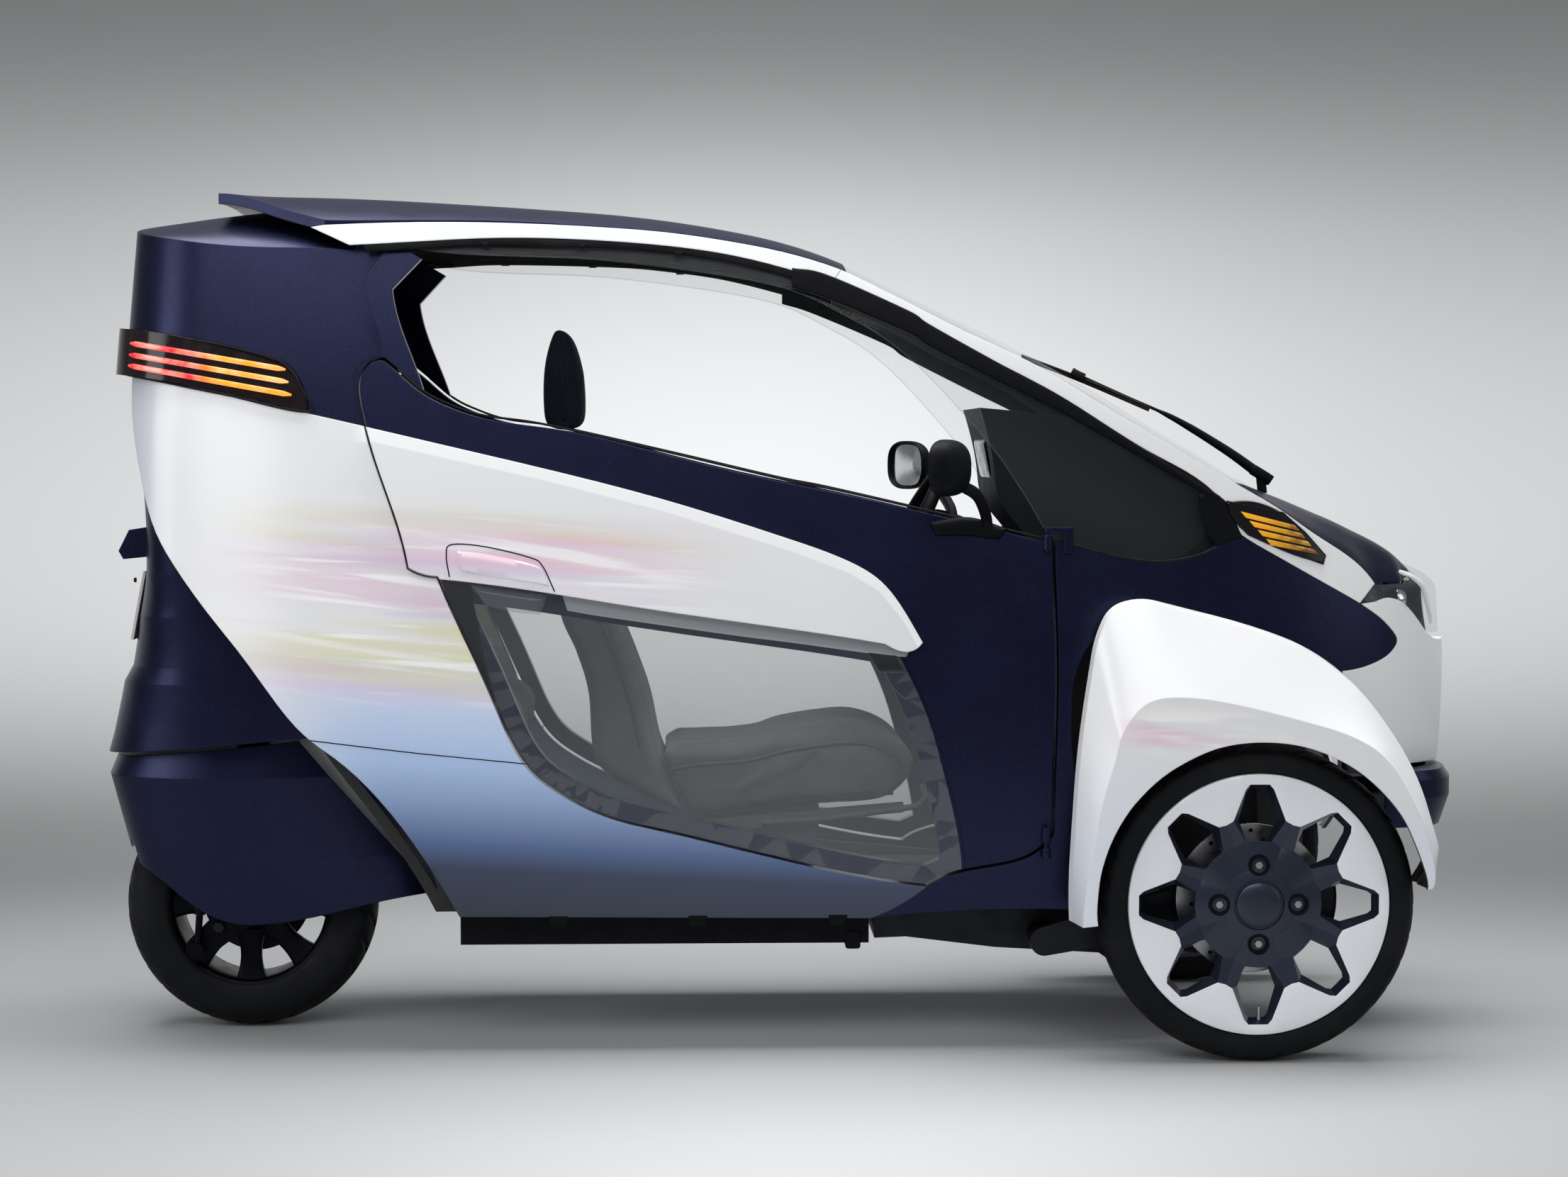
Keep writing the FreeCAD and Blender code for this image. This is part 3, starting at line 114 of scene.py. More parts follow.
def half_width(x, z):
    """Half width of the body in mm at the side view's x and z in mm.

    The waist is widest; it narrows with the square of the height above or below it, closes to the
    nose as (1 - s^2.4)^0.62 and to the tail as (1 - s^7)^0.4."""
    x, z = np.broadcast_arrays(np.asarray(x, float), np.asarray(z, float))
    full = np.where(z > 560, upper_width(z), 318 - 33 * ((560 - z) / 328) ** 2)
    ahead = np.clip((x - 250) / (np.maximum(nose_tip(z), 1100) - 250), 0, 0.999)
    tail = -1152 + 30 * np.maximum(z - 1000, 0) / 400
    behind = np.clip((-600 - x) / (-600 - tail), 0, 0.999)
    return full * (1 - ahead**2.4) ** 0.62 * (1 - behind**7) ** 0.4


def on_side(line, lift=0.0):
    """Side view points in mm laid on the right body side, lift mm proud of it, in metres."""
    line = np.asarray(line, float)
    y = -half_width(line[..., 0], line[..., 1]) - lift
    return np.stack([line[..., 0], y, line[..., 1]], axis=-1) * MM


def quads(rows, columns, wrap_rows, wrap_columns):
    """Corner numbers of the faces between neighbouring points of a grid."""
    i = np.arange(rows if wrap_rows else rows - 1)
    j = np.arange(columns if wrap_columns else columns - 1)
    i, j = np.meshgrid(i, j, indexing="ij")
    i2, j2 = (i + 1) % rows, (j + 1) % columns
    faces = np.stack([i * columns + j, i * columns + j2, i2 * columns + j2, i2 * columns + j], axis=-1)
    return faces.reshape(-1, 4)


def solid(name, grids, material, body, angle=38):
    """One object on a body, from grids: (points, wrap_rows, wrap_columns) or (points, faces).

    Edges sharper than the angle in degrees stay sharp."""
    points, faces, start = [], [], 0
    for grid in grids:
        if len(grid) == 3:
            cloud = np.asarray(grid[0], float)
            face = quads(cloud.shape[0], cloud.shape[1], grid[1], grid[2])
        else:
            cloud, face = np.asarray(grid[0], float), np.asarray(grid[1])
        cloud = cloud.reshape(-1, 3)
        points.append(cloud)
        faces.append(face + start)
        start += len(cloud)
    points = np.concatenate(points)
    loops = np.concatenate([f.ravel() for f in faces]).astype(np.int32)
    totals = np.concatenate([np.full(len(f), f.shape[1]) for f in faces])
    mesh = bpy.data.meshes.new(name)
    mesh.vertices.add(len(points))
    mesh.vertices.foreach_set("co", points.astype(np.float32).ravel())
    mesh.loops.add(len(loops))
    mesh.loops.foreach_set("vertex_index", loops)
    mesh.polygons.add(len(totals))
    mesh.polygons.foreach_set("loop_start", np.concatenate([[0], np.cumsum(totals)[:-1]]).astype(np.int32))
    mesh.update(calc_edges=True)
    tidy = bmesh.new()
    tidy.from_mesh(mesh)
    bmesh.ops.remove_doubles(tidy, verts=tidy.verts, dist=1e-5)
    bmesh.ops.dissolve_degenerate(tidy, edges=tidy.edges, dist=1e-6)
    bmesh.ops.recalc_face_normals(tidy, faces=tidy.faces)
    tidy.to_mesh(mesh)
    tidy.free()
    mesh.shade_smooth()
    mesh.set_sharp_from_angle(angle=math.radians(angle))
    piece = bpy.data.objects.new(name, mesh)
    bpy.context.scene.collection.objects.link(piece)
    mesh.materials.append(material)
    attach(piece, body)
    return piece


def flipped(grids):
    """The same grids on the car's other side."""
    turn = np.array([1, -1, 1])
    return [(np.asarray(g[0]) * turn, *g[1:]) for g in grids]


def both(grids):
    """The same grids on both sides of the car."""
    return list(grids) + flipped(grids)


def handed(side):
    """What turns right side grids into those of the side."""
    return flipped if side == "left" else list


def shut(outer, inner):
    """Grids of the closed slab between two grids of points."""
    grids = [(np.concatenate([outer, inner[::-1]]), True, False)]
    return grids + [(np.stack([outer[:, k], inner[:, k]]), False, False) for k in (0, -1)]


def capped(grid):
    """A row of points at each end, all at that end's middle, so that a tube is closed."""
    first = np.repeat(grid[:1].mean(axis=1, keepdims=True), grid.shape[1], axis=1)
    last = np.repeat(grid[-1:].mean(axis=1, keepdims=True), grid.shape[1], axis=1)
    return np.concatenate([first, grid, last])


def ring_profile(radius_a, radius_b=None, count=12, power=2.0):
    """Closed profile |a/ra|^p + |b/rb|^p = 1."""
    t = np.linspace(0, 2 * np.pi, count, endpoint=False)
    c, s = np.cos(t), np.sin(t)
    bend = 2 / power
    a = np.sign(c) * np.abs(c) ** bend * radius_a
    b = np.sign(s) * np.abs(s) ** bend * (radius_b or radius_a)
    return np.stack([a, b], axis=1)


def sweep(path, profile, out=(0, -1, 0), closed=False, scale=None):
    """A profile carried along a path.

    Each point is path + a * side + b * outward, where outward is out made square to the path's
    direction and side is square to both; scale shrinks the profile along the way."""
    path = np.asarray(path, float)
    if closed:
        ahead = np.roll(path, -1, axis=0) - np.roll(path, 1, axis=0)
    else:
        ahead = np.gradient(path, axis=0)
    ahead /= np.linalg.norm(ahead, axis=1, keepdims=True)
    outward = np.broadcast_to(np.asarray(out, float), path.shape)
    outward = outward - (outward * ahead).sum(axis=1, keepdims=True) * ahead
    outward /= np.linalg.norm(outward, axis=1, keepdims=True)
    side = np.cross(ahead, outward)
    size = np.ones(len(path)) if scale is None else np.asarray(scale, float)
    a = profile[None, :, :1] * size[:, None, None]
    b = profile[None, :, 1:] * size[:, None, None]
    grid = path[:, None, :] + a * side[:, None, :] + b * outward[:, None, :]
    return (grid if closed else capped(grid), closed, True)


def turned(profile, centre, count=96, closed=False):
    """Profile points (radius, along) in metres turned about the line through centre along y."""
    r, along = np.asarray(profile, float).T
    t = np.linspace(0, 2 * np.pi, count, endpoint=False)[:, None]
    x = centre[0] + r * np.sin(t)
    z = centre[2] + r * np.cos(t)
    y = np.broadcast_to(centre[1] + along, x.shape)
    return (np.stack([x, y, z], axis=-1), True, closed)


def side_slab(top, bottom, lift, sink=1.0, rows=10, columns=60, edge=4.0):
    """A pad on the body side between two edge curves in mm, its border rounded down.

    Points run straight from the top curve to the bottom one; the height over the body is
    lift * sqrt(1 - (1 - d / edge)^2) at the distance d inside the border."""
    a, b = smooth(top, columns), smooth(bottom, columns)
    v = 0.5 - 0.5 * np.cos(np.linspace(0, np.pi, rows))[:, None, None]
    plan = a[None] * (1 - v) + b[None] * v
    width = np.linalg.norm(a - b, axis=1)[None, :]
    near = np.minimum(v[..., 0], 1 - v[..., 0]) * width
    from_ends = np.minimum(np.linalg.norm(plan - plan[:, :1], axis=2), np.linalg.norm(plan - plan[:, -1:], axis=2))
    near = np.minimum(near, from_ends)
    rise = lift * np.sqrt(np.clip(1 - (1 - np.clip(near / edge, 0, 1)) ** 2, 0, 1))
    return shut(on_side(plan, rise), on_side(plan, -sink))


def side_line(points, width, height, count=80, closed=False, lift=0.0):
    """A thin half round strip along a side view curve in mm, width and height in mm."""
    path = on_side(smooth(points, count, closed), lift)
    return sweep(path, ring_profile(width / 2 * MM, height * MM, 8), closed=closed)


def applied(piece):
    """The piece's modifiers worked into its mesh."""
    graph = bpy.context.evaluated_depsgraph_get()
    mesh = bpy.data.meshes.new_from_object(piece.evaluated_get(graph))
    piece.modifiers.clear()
    piece.data = mesh


def corners_of(piece):
    """The piece's corner places, one row each."""
    flat = np.empty(len(piece.data.vertices) * 3, np.float32)
    piece.data.vertices.foreach_get("co", flat)
    return flat.reshape(-1, 3).astype(float)


def move_corners(piece, points):
    """Put the piece's corners at the points."""
    piece.data.vertices.foreach_set("co", points.astype(np.float32).ravel())
    piece.data.update()


def facings(piece):
    """The direction that each corner of the piece faces."""
    flat = np.empty(len(piece.data.vertices) * 3, np.float32)
    piece.data.vertex_normals.foreach_get("vector", flat)
    return flat.reshape(-1, 3).astype(float)


def pad_grid(face, back, half, power, shrink=4.0):
    """Closed pad between two side view curves in mm that meet at both ends.

    Each pair of points is drawn in by shrink mm, which the pad's swelling takes up again. At the
    share t of the half width the pair comes together about its middle by
    (1 - |t|^power)^(1 / power), so that the sides are flat with a rolled edge."""
    a, b = smooth(face, 70), smooth(back, 70)
    middle = (a + b) / 2
    reach = np.linalg.norm(a - middle, axis=1, keepdims=True)
    trim = np.clip(1 - shrink / np.maximum(reach, 1e-6), 0, 1)
    loop = np.concatenate([middle + (a - middle) * trim, (middle + (b - middle) * trim)[::-1]])
    spine = np.concatenate([middle, middle[::-1]])
    t = np.sin(np.linspace(-np.pi / 2, np.pi / 2, 60))
    draw = (1 - np.abs(t) ** power) ** (1 / power)
    plan = spine[None] + (loop - spine)[None] * draw[:, None, None]
    y = np.broadcast_to((t * (half - shrink))[:, None], plan.shape[:2])
    return (np.stack([plan[..., 0], y, plan[..., 1]], axis=-1) * MM, False, True)


def stuffed(name, grid, cover, voxel):
    """A pad remeshed evenly and blown up a little as cloth, no point moving past its fullness."""
    pad = solid(name, [grid], finish(cover), "body", 60)
    even_mesh = pad.modifiers.new("even_mesh", "REMESH")
    even_mesh.mode = "VOXEL"
    even_mesh.voxel_size = voxel
    applied(pad)
    scene = bpy.context.scene
    rest = corners_of(pad)
    blow = pad.modifiers.new("blow", "CLOTH")
    blow.settings.use_pressure = True
    blow.settings.uniform_pressure_force = 4
    blow.settings.effector_weights.gravity = 0
    for step in range(1, 21):
        scene.frame_set(step)
    applied(pad)
    move = corners_of(pad) - rest
    far = np.linalg.norm(move, axis=1, keepdims=True)
    move_corners(pad, rest + move * np.minimum(1, sizes().pile / np.maximum(far, 1e-9)))
    scene.frame_set(1)
    return pad


def sewn(pad, seam, channels, depth):
    """Draw the pad in along its side seams and its lengthwise channels, and return its piping.

    A point sinks against its normal by depth * exp(-(d / 4 mm)^2), d being its distance from the
    seam's side view line, on the sides, or from a channel's distance off the middle, on the face."""
    points, normals = corners_of(pad), facings(pad)
    line = smooth(seam, 120) * MM
    gap = np.linalg.norm(points[:, None, [0, 2]] - line[None], axis=2).min(axis=1)
    side = np.clip((np.abs(normals[:, 1]) - 0.35) / 0.3, 0, 1)
    sink = np.exp(-((gap / 0.004) ** 2)) * side
    for place in channels:
        off = np.abs(np.abs(points[:, 1]) - place * MM)
        sink = np.maximum(sink, np.exp(-((off / 0.005) ** 2)) * (1 - side))
    move_corners(pad, points - normals * (sink * depth)[:, None])
    pad.data.shade_smooth()
    tubes = []
    for hand in (-1, 1):
        near = points[(normals[:, 1] * hand) > 0.5]
        pick = np.linalg.norm(near[None, :, [0, 2]] - line[:, None], axis=2).argmin(axis=1)
        y = np.convolve(np.pad(near[pick, 1], 4, mode="edge"), np.ones(9) / 9, mode="valid")
        path = np.stack([line[:, 0], y, line[:, 1]], axis=1)
        tubes.append(sweep(path, ring_profile(0.0032, count=10), out=(0, hand, 0)))
    finer = pad.modifiers.new("finer", "SUBSURF")
    finer.levels = finer.render_levels = 1
    return tubes


def straight(corners, closed=False):
    """More points on straight stretches, so that a curve through them keeps its corners."""
    p = np.asarray(corners, float)
    ends = np.roll(p, -1, axis=0) if closed else p[1:]
    stretches = [np.linspace(a, b, 9)[:-1] for a, b in zip(p, ends)]
    return np.concatenate(stretches if closed else stretches + [p[-1:]])


def nose_x(y, z):
    """The nose's front surface: x in mm at y and z in mm, from the same curve as half_width."""
    return 250 + (nose_tip(z) - 250) * (1 - (y / upper_width(z)) ** (1 / 0.62)) ** (1 / 2.4)


# Materials


class Shade:
    """Short hand for one material's nodes."""

    def __init__(self, name):
        self.material = bpy.data.materials.new(name)
        self.material.use_nodes = True
        self.tree = self.material.node_tree
        self.shader = self.tree.nodes["Principled BSDF"]

    def node(self, kind, **values):
        node = self.tree.nodes.new(kind)
        for key, value in values.items():
            setattr(node, key, value)
        return node

    def link(self, source, target):
        self.tree.links.new(source, target)

    def put(self, value, socket):
        """A number or colour as the socket's own value, or another socket linked to it."""
        if isinstance(value, tuple):
            socket.default_value = (*value, 1)
        elif isinstance(value, (int, float)):
            socket.default_value = value
        else:
            self.link(value, socket)

    def place(self):
        return self.node("ShaderNodeTexCoord").outputs["Object"]

    def noise(self, scale, detail=3.0, place=None):
        noise = self.node("ShaderNodeTexNoise")
        noise.inputs["Scale"].default_value = scale
        noise.inputs["Detail"].default_value = detail
        self.link(place or self.place(), noise.inputs["Vector"])
        return noise.outputs["Fac"]

    def ramp(self, factor, stops, mode="LINEAR"):
        ramp = self.node("ShaderNodeValToRGB")
        ramp.color_ramp.interpolation = mode
        while len(ramp.color_ramp.elements) < len(stops):
            ramp.color_ramp.elements.new(0.5)
        for element, (at, colour) in zip(ramp.color_ramp.elements, stops):
            element.position = at
            element.color = (*colour, 1)
        self.link(factor, ramp.inputs["Fac"])
        return ramp.outputs["Color"]

    def math(self, kind, *values):
        """Two or more numbers or sockets joined one after the other, or one changed by itself."""
        node = self.node("ShaderNodeMath", operation=kind)
        for socket, value in zip(node.inputs, values[:2]):
            self.put(value, socket)
        return self.math(kind, node.outputs[0], *values[2:]) if len(values) > 2 else node.outputs[0]

    def times(self, *values):
        return self.math("MULTIPLY", *values)

    def plus(self, *values):
        return self.math("ADD", *values)

    def split(self, vector=None):
        """The vector's, or else the place's, x, y and z."""
        node = self.node("ShaderNodeSeparateXYZ")
        self.link(vector or self.place(), node.inputs["Vector"])
        return node.outputs["X"], node.outputs["Y"], node.outputs["Z"]

    def facing(self):
        """The x, y and z of the direction that the surface faces."""
        return self.split(self.node("ShaderNodeTexCoord").outputs["Normal"])

    def span(self, value, low, high, to_low=0.0, to_high=1.0, kind="SMOOTHSTEP"):
        node = self.node("ShaderNodeMapRange", interpolation_type=kind)
        for name, number in (("From Min", low), ("From Max", high), ("To Min", to_low), ("To Max", to_high)):
            node.inputs[name].default_value = number
        self.link(value, node.inputs["Value"])
        return node.outputs["Result"]

    def mix(self, factor, a, b):
        node = self.node("ShaderNodeMix", data_type="RGBA")
        for socket, value in zip((node.inputs[0], node.inputs[6], node.inputs[7]), (factor, a, b)):
            self.put(value, socket)
        return node.outputs[2]

    def scaled(self, vector, share):
        node = self.node("ShaderNodeVectorMath", operation="SCALE")
        self.link(vector, node.inputs[0])
        self.put(share, node.inputs["Scale"])
        return node.outputs["Vector"]

    def surface(self, colour, rough, metal=0.0, **sockets):
        """The shader's colour, roughness and metallic share, and more by their sockets' names."""
        self.put(colour, self.shader.inputs["Base Color"])
        self.put(rough, self.shader.inputs["Roughness"])
        self.put(metal, self.shader.inputs["Metallic"])
        for name, value in sockets.items():
            self.put(value, self.shader.inputs[name.replace("_", " ").title().replace("Ior", "IOR")])

    def relief(self, height, strength, distance, round_edges=0.0):
        """Fine bumps from a height, over edges rounded by round_edges metres."""
        bump = self.node("ShaderNodeBump")
        bump.inputs["Strength"].default_value = strength
        bump.inputs["Distance"].default_value = distance
        self.link(height, bump.inputs["Height"])
        if round_edges:
            bevel = self.node("ShaderNodeBevel", samples=6)
            bevel.inputs["Radius"].default_value = round_edges
            self.link(bevel.outputs["Normal"], bump.inputs["Normal"])
        self.link(bump.outputs["Normal"], self.shader.inputs["Normal"])


def rough_between(shade, low, high, scale=14):
    """Roughness that wanders between two values."""
    return shade.span(shade.noise(scale, 4), 0.3, 0.7, low, high, "LINEAR")


def dark_paint(look):
    """Very dark satin metallic with a fine flake."""
    s = Shade("violet_navy_paint")
    flake = s.node("ShaderNodeTexVoronoi")
    flake.inputs["Scale"].default_value = 900
    s.link(s.place(), flake.inputs["Vector"])
    spark = s.span(flake.outputs["Color"], 0.2, 0.9, 0.0, 1.0, "LINEAR")
    base = tuple(look.dark)
    colour = s.mix(spark, base, tuple(min(1.0, c * 1.7 + 0.002) for c in base))
    rough = rough_between(s, 0.32, 0.4)
    s.surface(colour, rough, 0.85, coat_weight=0.14, coat_roughness=0.25, specular_ior_level=0.25)
    s.relief(s.noise(160, 2), 0.04, 0.001, 0.003)
    return s.material


def rail_lining_and_shade(s, colour):
    """Black where a rail or pillar faces the car's middle or the ground: a dark lining, and painted shade on faces
    turned away from the light.
    """
    y = s.split()[1]
    to_y, to_z = s.facing()[1:]
    # Dark lining and painted shade: black on faces turned to the car's middle or the ground.
    inward = s.span(s.times(y, to_y), -0.01, -0.05)
    return s.mix(s.math("MAXIMUM", inward, s.span(to_z, -0.3, -0.6)), colour, LINING_AND_SHADE)


def pearl(name, look, livery_and_painted_light=None):
    """Satin pearl white, which the livery colours further where a panel is decorated or lined, and where light or shade
    is painted on it.
    """
    s = Shade(name)
    white = tuple(look.white)
    cool = (white[0] * 0.97, white[1] * 0.98, white[2])
    colour = s.mix(s.span(s.noise(3, 2), 0.35, 0.65), white, cool)
    if livery_and_painted_light:
        colour = livery_and_painted_light(s, colour)
    s.surface(colour, rough_between(s, 0.3, 0.37), 0.0, coat_weight=0.5, coat_roughness=0.18, sheen_weight=0.05)
    s.relief(s.noise(220, 2), 0.02, 0.001, 0.003)
    return s.material


def streaks(s, x, z, slope, scale, stretch, low, high):
    """Bands of noise drawn out along the car, tilted by slope, kept where low..high of it lies."""
    join = s.node("ShaderNodeCombineXYZ")
    s.link(s.times(x, stretch), join.inputs["X"])
    s.link(s.plus(z, s.times(x, slope)), join.inputs["Z"])
    return s.span(s.noise(scale, 2, join.outputs["Vector"]), low, high)


def side_livery_and_painted_light(s, colour):
    """White above, light blue and then deep blue below, with drawn-out streaks between.

    A painted highlight, a bright line 19 mm high, runs under the curve BAND_TOP, along the panel's upper edge."""
    x, _, z = s.split()
    tilt = s.plus(z, s.times(x, 0.05))
    # Painted shade: greyer towards the rear end, where the quarter turns round the corner.
    colour = s.mix(s.span(x, -0.98, -1.1, 0, 0.85), colour, (0.46, 0.47, 0.55))
    # Painted highlight: an upright bright band across the rear quarter.
    painted_highlight_band = s.times(s.span(x, -1.02, -0.93), s.span(x, -0.78, -0.9), 0.8)
    colour = s.mix(painted_highlight_band, colour, (0.96, 0.96, 0.98))
    blue = s.ramp(
        s.span(tilt, 0.2, 0.72, 0, 1, "LINEAR"),
        [
            (0.0, (0.003, 0.009, 0.03)),
            (0.17, (0.01, 0.026, 0.075)),
            (0.25, (0.065, 0.12, 0.28)),
            (0.5, (0.4, 0.54, 0.8)),
            (0.78, (0.66, 0.75, 0.92)),
            (1.0, (0.8, 0.82, 0.9)),
        ],
    )
    low = s.times(s.span(tilt, 0.68, 0.54), s.span(x, -0.95, -0.66, 0.2, 1.0))
    colour = s.mix(s.math("MAXIMUM", low, s.span(tilt, 0.36, 0.3)), colour, blue)
    middle = s.times(s.span(tilt, 0.52, 0.64), s.span(tilt, 0.92, 0.78), s.span(x, -1.0, -0.7), s.span(x, -0.02, -0.36))
    for slope, scale, tint, low_at, high_at, amount in (
        (0.07, 10.0, (0.78, 0.34, 0.58), 0.47, 0.7, 0.6),
        (0.11, 13.0, (0.7, 0.68, 0.22), 0.46, 0.68, 0.85),
        (0.04, 18.0, (0.54, 0.4, 0.74), 0.52, 0.72, 0.5),
        (0.09, 28.0, (0.84, 0.42, 0.5), 0.55, 0.72, 0.45),
        (0.13, 36.0, (1.0, 1.0, 1.0), 0.56, 0.68, 0.8),
        (0.06, 54.0, (1.0, 1.0, 1.0), 0.58, 0.7, 0.75),
    ):
        band = s.times(streaks(s, x, z, slope, scale, 0.055, low_at, high_at), middle, amount)
        colour = s.mix(band, colour, tint)
    # Painted highlight of the band's upturned top edge: a bright line under BAND_TOP.
    start, end = BAND_TOP[0][0], BAND_TOP[-1][0]
    stops = [((px - start) / (end - start), (pz / 1200,) * 3) for px, pz in BAND_TOP]
    top = s.ramp(s.span(x, start * MM, end * MM, 0, 1, "LINEAR"), stops)
    under = s.math("SUBTRACT", s.times(top, 1.2), z)
    painted_edge_highlight = s.times(s.span(under, 0.021, 0.017), s.span(x, -0.72, -0.69))
    return s.mix(painted_edge_highlight, colour, (0.97, 0.97, 0.97))


def guard_livery_and_shade(s, colour):
    """A faint warm streak along the mudguard's flat side, cooler low down, black inside with a dark lining and painted
    shade.

    Inside is where the surface faces the axle or the car's middle."""
    x, y, z = s.split()
    to_x, to_y, to_z = s.facing()
    colour = s.mix(s.times(s.span(z, 0.56, 0.3), 0.4), colour, (0.62, 0.68, 0.82))
    along = s.times(s.math("SUBTRACT", x, float(FRONT_AXLE[0])), to_x)
    upward = s.times(s.math("SUBTRACT", z, float(FRONT_AXLE[2])), to_z)
    # Dark lining and painted shade: black where the mudguard faces the axle or the car's middle.
    inner_faces = s.span(s.plus(along, upward, s.times(y, 0.35, to_y)), 0.03, 0.0)
    tilt = s.plus(z, s.times(x, 0.1))
    place = s.times(s.span(tilt, 0.56, 0.61), s.span(tilt, 0.67, 0.63), s.span(x, 0.9, 0.72), s.span(x, 0.5, 0.62))
    for slope, scale, tint, amount in ((0.1, 14.0, (0.84, 0.42, 0.56), 0.6), (0.06, 34.0, (1.0, 0.97, 0.95), 0.9)):
        band = s.times(streaks(s, x, z, slope, scale, 0.12, 0.46, 0.6), place, amount)
        colour = s.mix(band, colour, tint)
    return s.mix(inner_faces, colour, LINING_AND_SHADE)


def plastic(name, colour, rough=0.55, grain=320, depth=0.0006, edge=0.002, gloss=0.3):
    """Moulded plastic with a fine grain."""
    s = Shade(name)
    dark = tuple(c * 0.8 for c in colour)
    rough = rough_between(s, rough - 0.06, rough + 0.08, 40)
    s.surface(s.mix(s.noise(30, 4), dark, colour), rough, specular_ior_level=gloss)
    s.relief(s.noise(grain, 3), 0.35, depth, edge)
    return s.material


def tub_plastic(name):
    """Grey lining inside the cabin, black where the tub shows outside it."""
    s = Shade(name)
    x, y, z = s.split()
    outward = s.times(y, s.facing()[1])
    sideways = s.span(s.math("ABSOLUTE", y), 0.275, 0.255)
    inside = s.times(sideways, s.span(x, -0.84, -0.79), s.span(z, 0.24, 0.25), s.span(outward, 0.06, 0.02))
    inner_faces = s.mix(s.noise(30, 4), (0.07, 0.075, 0.084), (0.09, 0.095, 0.105))
    s.surface(s.mix(inside, LINING_AND_SHADE, inner_faces), rough_between(s, 0.52, 0.66, 40))
    s.relief(s.noise(320, 3), 0.35, 0.0006, 0.002)
    return s.material


def rubber(name, colour=(0.006, 0.006, 0.0065), dusty=(0.014, 0.014, 0.015)):
    """Rubber with patches of dust."""
    s = Shade(name)
    dust = s.mix(s.span(s.noise(9, 5), 0.45, 0.75), colour, dusty)
    s.surface(dust, rough_between(s, 0.5, 0.68, 25), specular_ior_level=0.13)
    s.relief(s.noise(600, 2), 0.25, 0.0004)
    return s.material


def metal(name, colour, rough=0.32, grain=60):
    """Bare or cast metal with slight wear and grain."""
    s = Shade(name)
    worn = tuple(c * 0.7 for c in colour)
    s.surface(s.mix(s.noise(24, 5), worn, colour), rough_between(s, rough - 0.07, rough + 0.1, 30), 1.0)
    s.relief(s.noise(grain, 4), 0.12, 0.0005, 0.001)
    return s.material


def pane(name, colour, alpha, rough=0.04):
    """Clear sheet: shows what is behind it, with a gloss of its own."""
    s = Shade(name)
    tint = tuple(c * 0.9 for c in colour)
    rough = rough_between(s, rough, rough + 0.03, 3)
    s.surface(s.mix(s.noise(2, 2), tint, colour), rough, ior=1.7, alpha=alpha, specular_ior_level=0.8)
    s.material.surface_render_method = "BLENDED"
    return s.material


def glow(name, low, high, strength):
    """Lamp element lit from behind, or a strip glowing as a painted highlight, from low to high along x, each a pair of
    colour and x.
    """
    s = Shade(name)
    x = s.split()[0]
    colour = s.mix(s.span(x, low[1], high[1]), low[0], high[0])
    colour = s.mix(s.times(s.span(s.noise(40, 2), 0.3, 0.7), 0.25), colour, (1.0, 0.85, 0.6))
    s.surface(colour, 0.18, coat_weight=0.6, emission_color=colour, emission_strength=strength)
    return s.material


def amber_glow(name):
    """Turn lamp element: amber at its rear end, darker brown towards the nose."""
    s = Shade(name)
    x = s.split()[0]
    colour = s.mix(s.span(x, 0.785, 0.875), (0.8, 0.31, 0.012), (0.16, 0.045, 0.003))
    colour = s.mix(s.times(s.span(s.noise(60, 3), 0.35, 0.7), 0.5), colour, (0.62, 0.4, 0.012))
    s.surface(colour, 0.2, coat_weight=0.6, emission_color=colour, emission_strength=0.35)
    return s.material


def cloth(name, colour, edge_tint, sheen=0.35):
    """Woven seat cover: two crossed sets of threads, 2.4 mm apart, with a soft sheen."""
    s = Shade(name)
    x, y, z = s.split()
    along = s.math("SINE", s.times(s.plus(x, z), 2600))
    weave = s.times(along, s.math("SINE", s.times(y, 2600)))
    dark = tuple(c * 0.62 for c in colour)
    tone = s.mix(s.span(weave, -1, 1), dark, colour)
    tone = s.mix(s.times(s.span(s.noise(7, 3), 0.4, 0.7), 0.4), tone, edge_tint)
    s.surface(tone, 0.86, sheen_weight=sheen, sheen_roughness=0.5, specular_ior_level=0.2)
    s.relief(s.plus(weave, s.noise(90, 3)), 0.35, 0.0005)
    return s.material


def disc_paint(look):
    """Pale satin paint of the wheel disc."""
    s = Shade("wheel_disc_paint")
    base = tuple(look.disc)
    colour = s.mix(s.noise(300, 2), tuple(c * 0.95 for c in base), base)
    s.surface(colour, rough_between(s, 0.36, 0.44), 0.1, coat_weight=0.3)
    s.relief(s.noise(400, 2), 0.02, 0.0005, 0.0015)
    return s.material


def spider_paint(look):
    """Dark paint of the wheel's star, a little lighter than the body's."""
    s = Shade("wheel_star_paint")
    base = (look.dark[0] * 2.2, look.dark[1] * 2.3, look.dark[2] * 1.25)
    colour = s.mix(s.noise(500, 2), base, tuple(c * 1.5 for c in base))
    s.surface(colour, rough_between(s, 0.34, 0.42), 0.6, coat_weight=0.3)
    s.relief(s.noise(300, 2), 0.03, 0.0005, 0.0015)
    return s.material


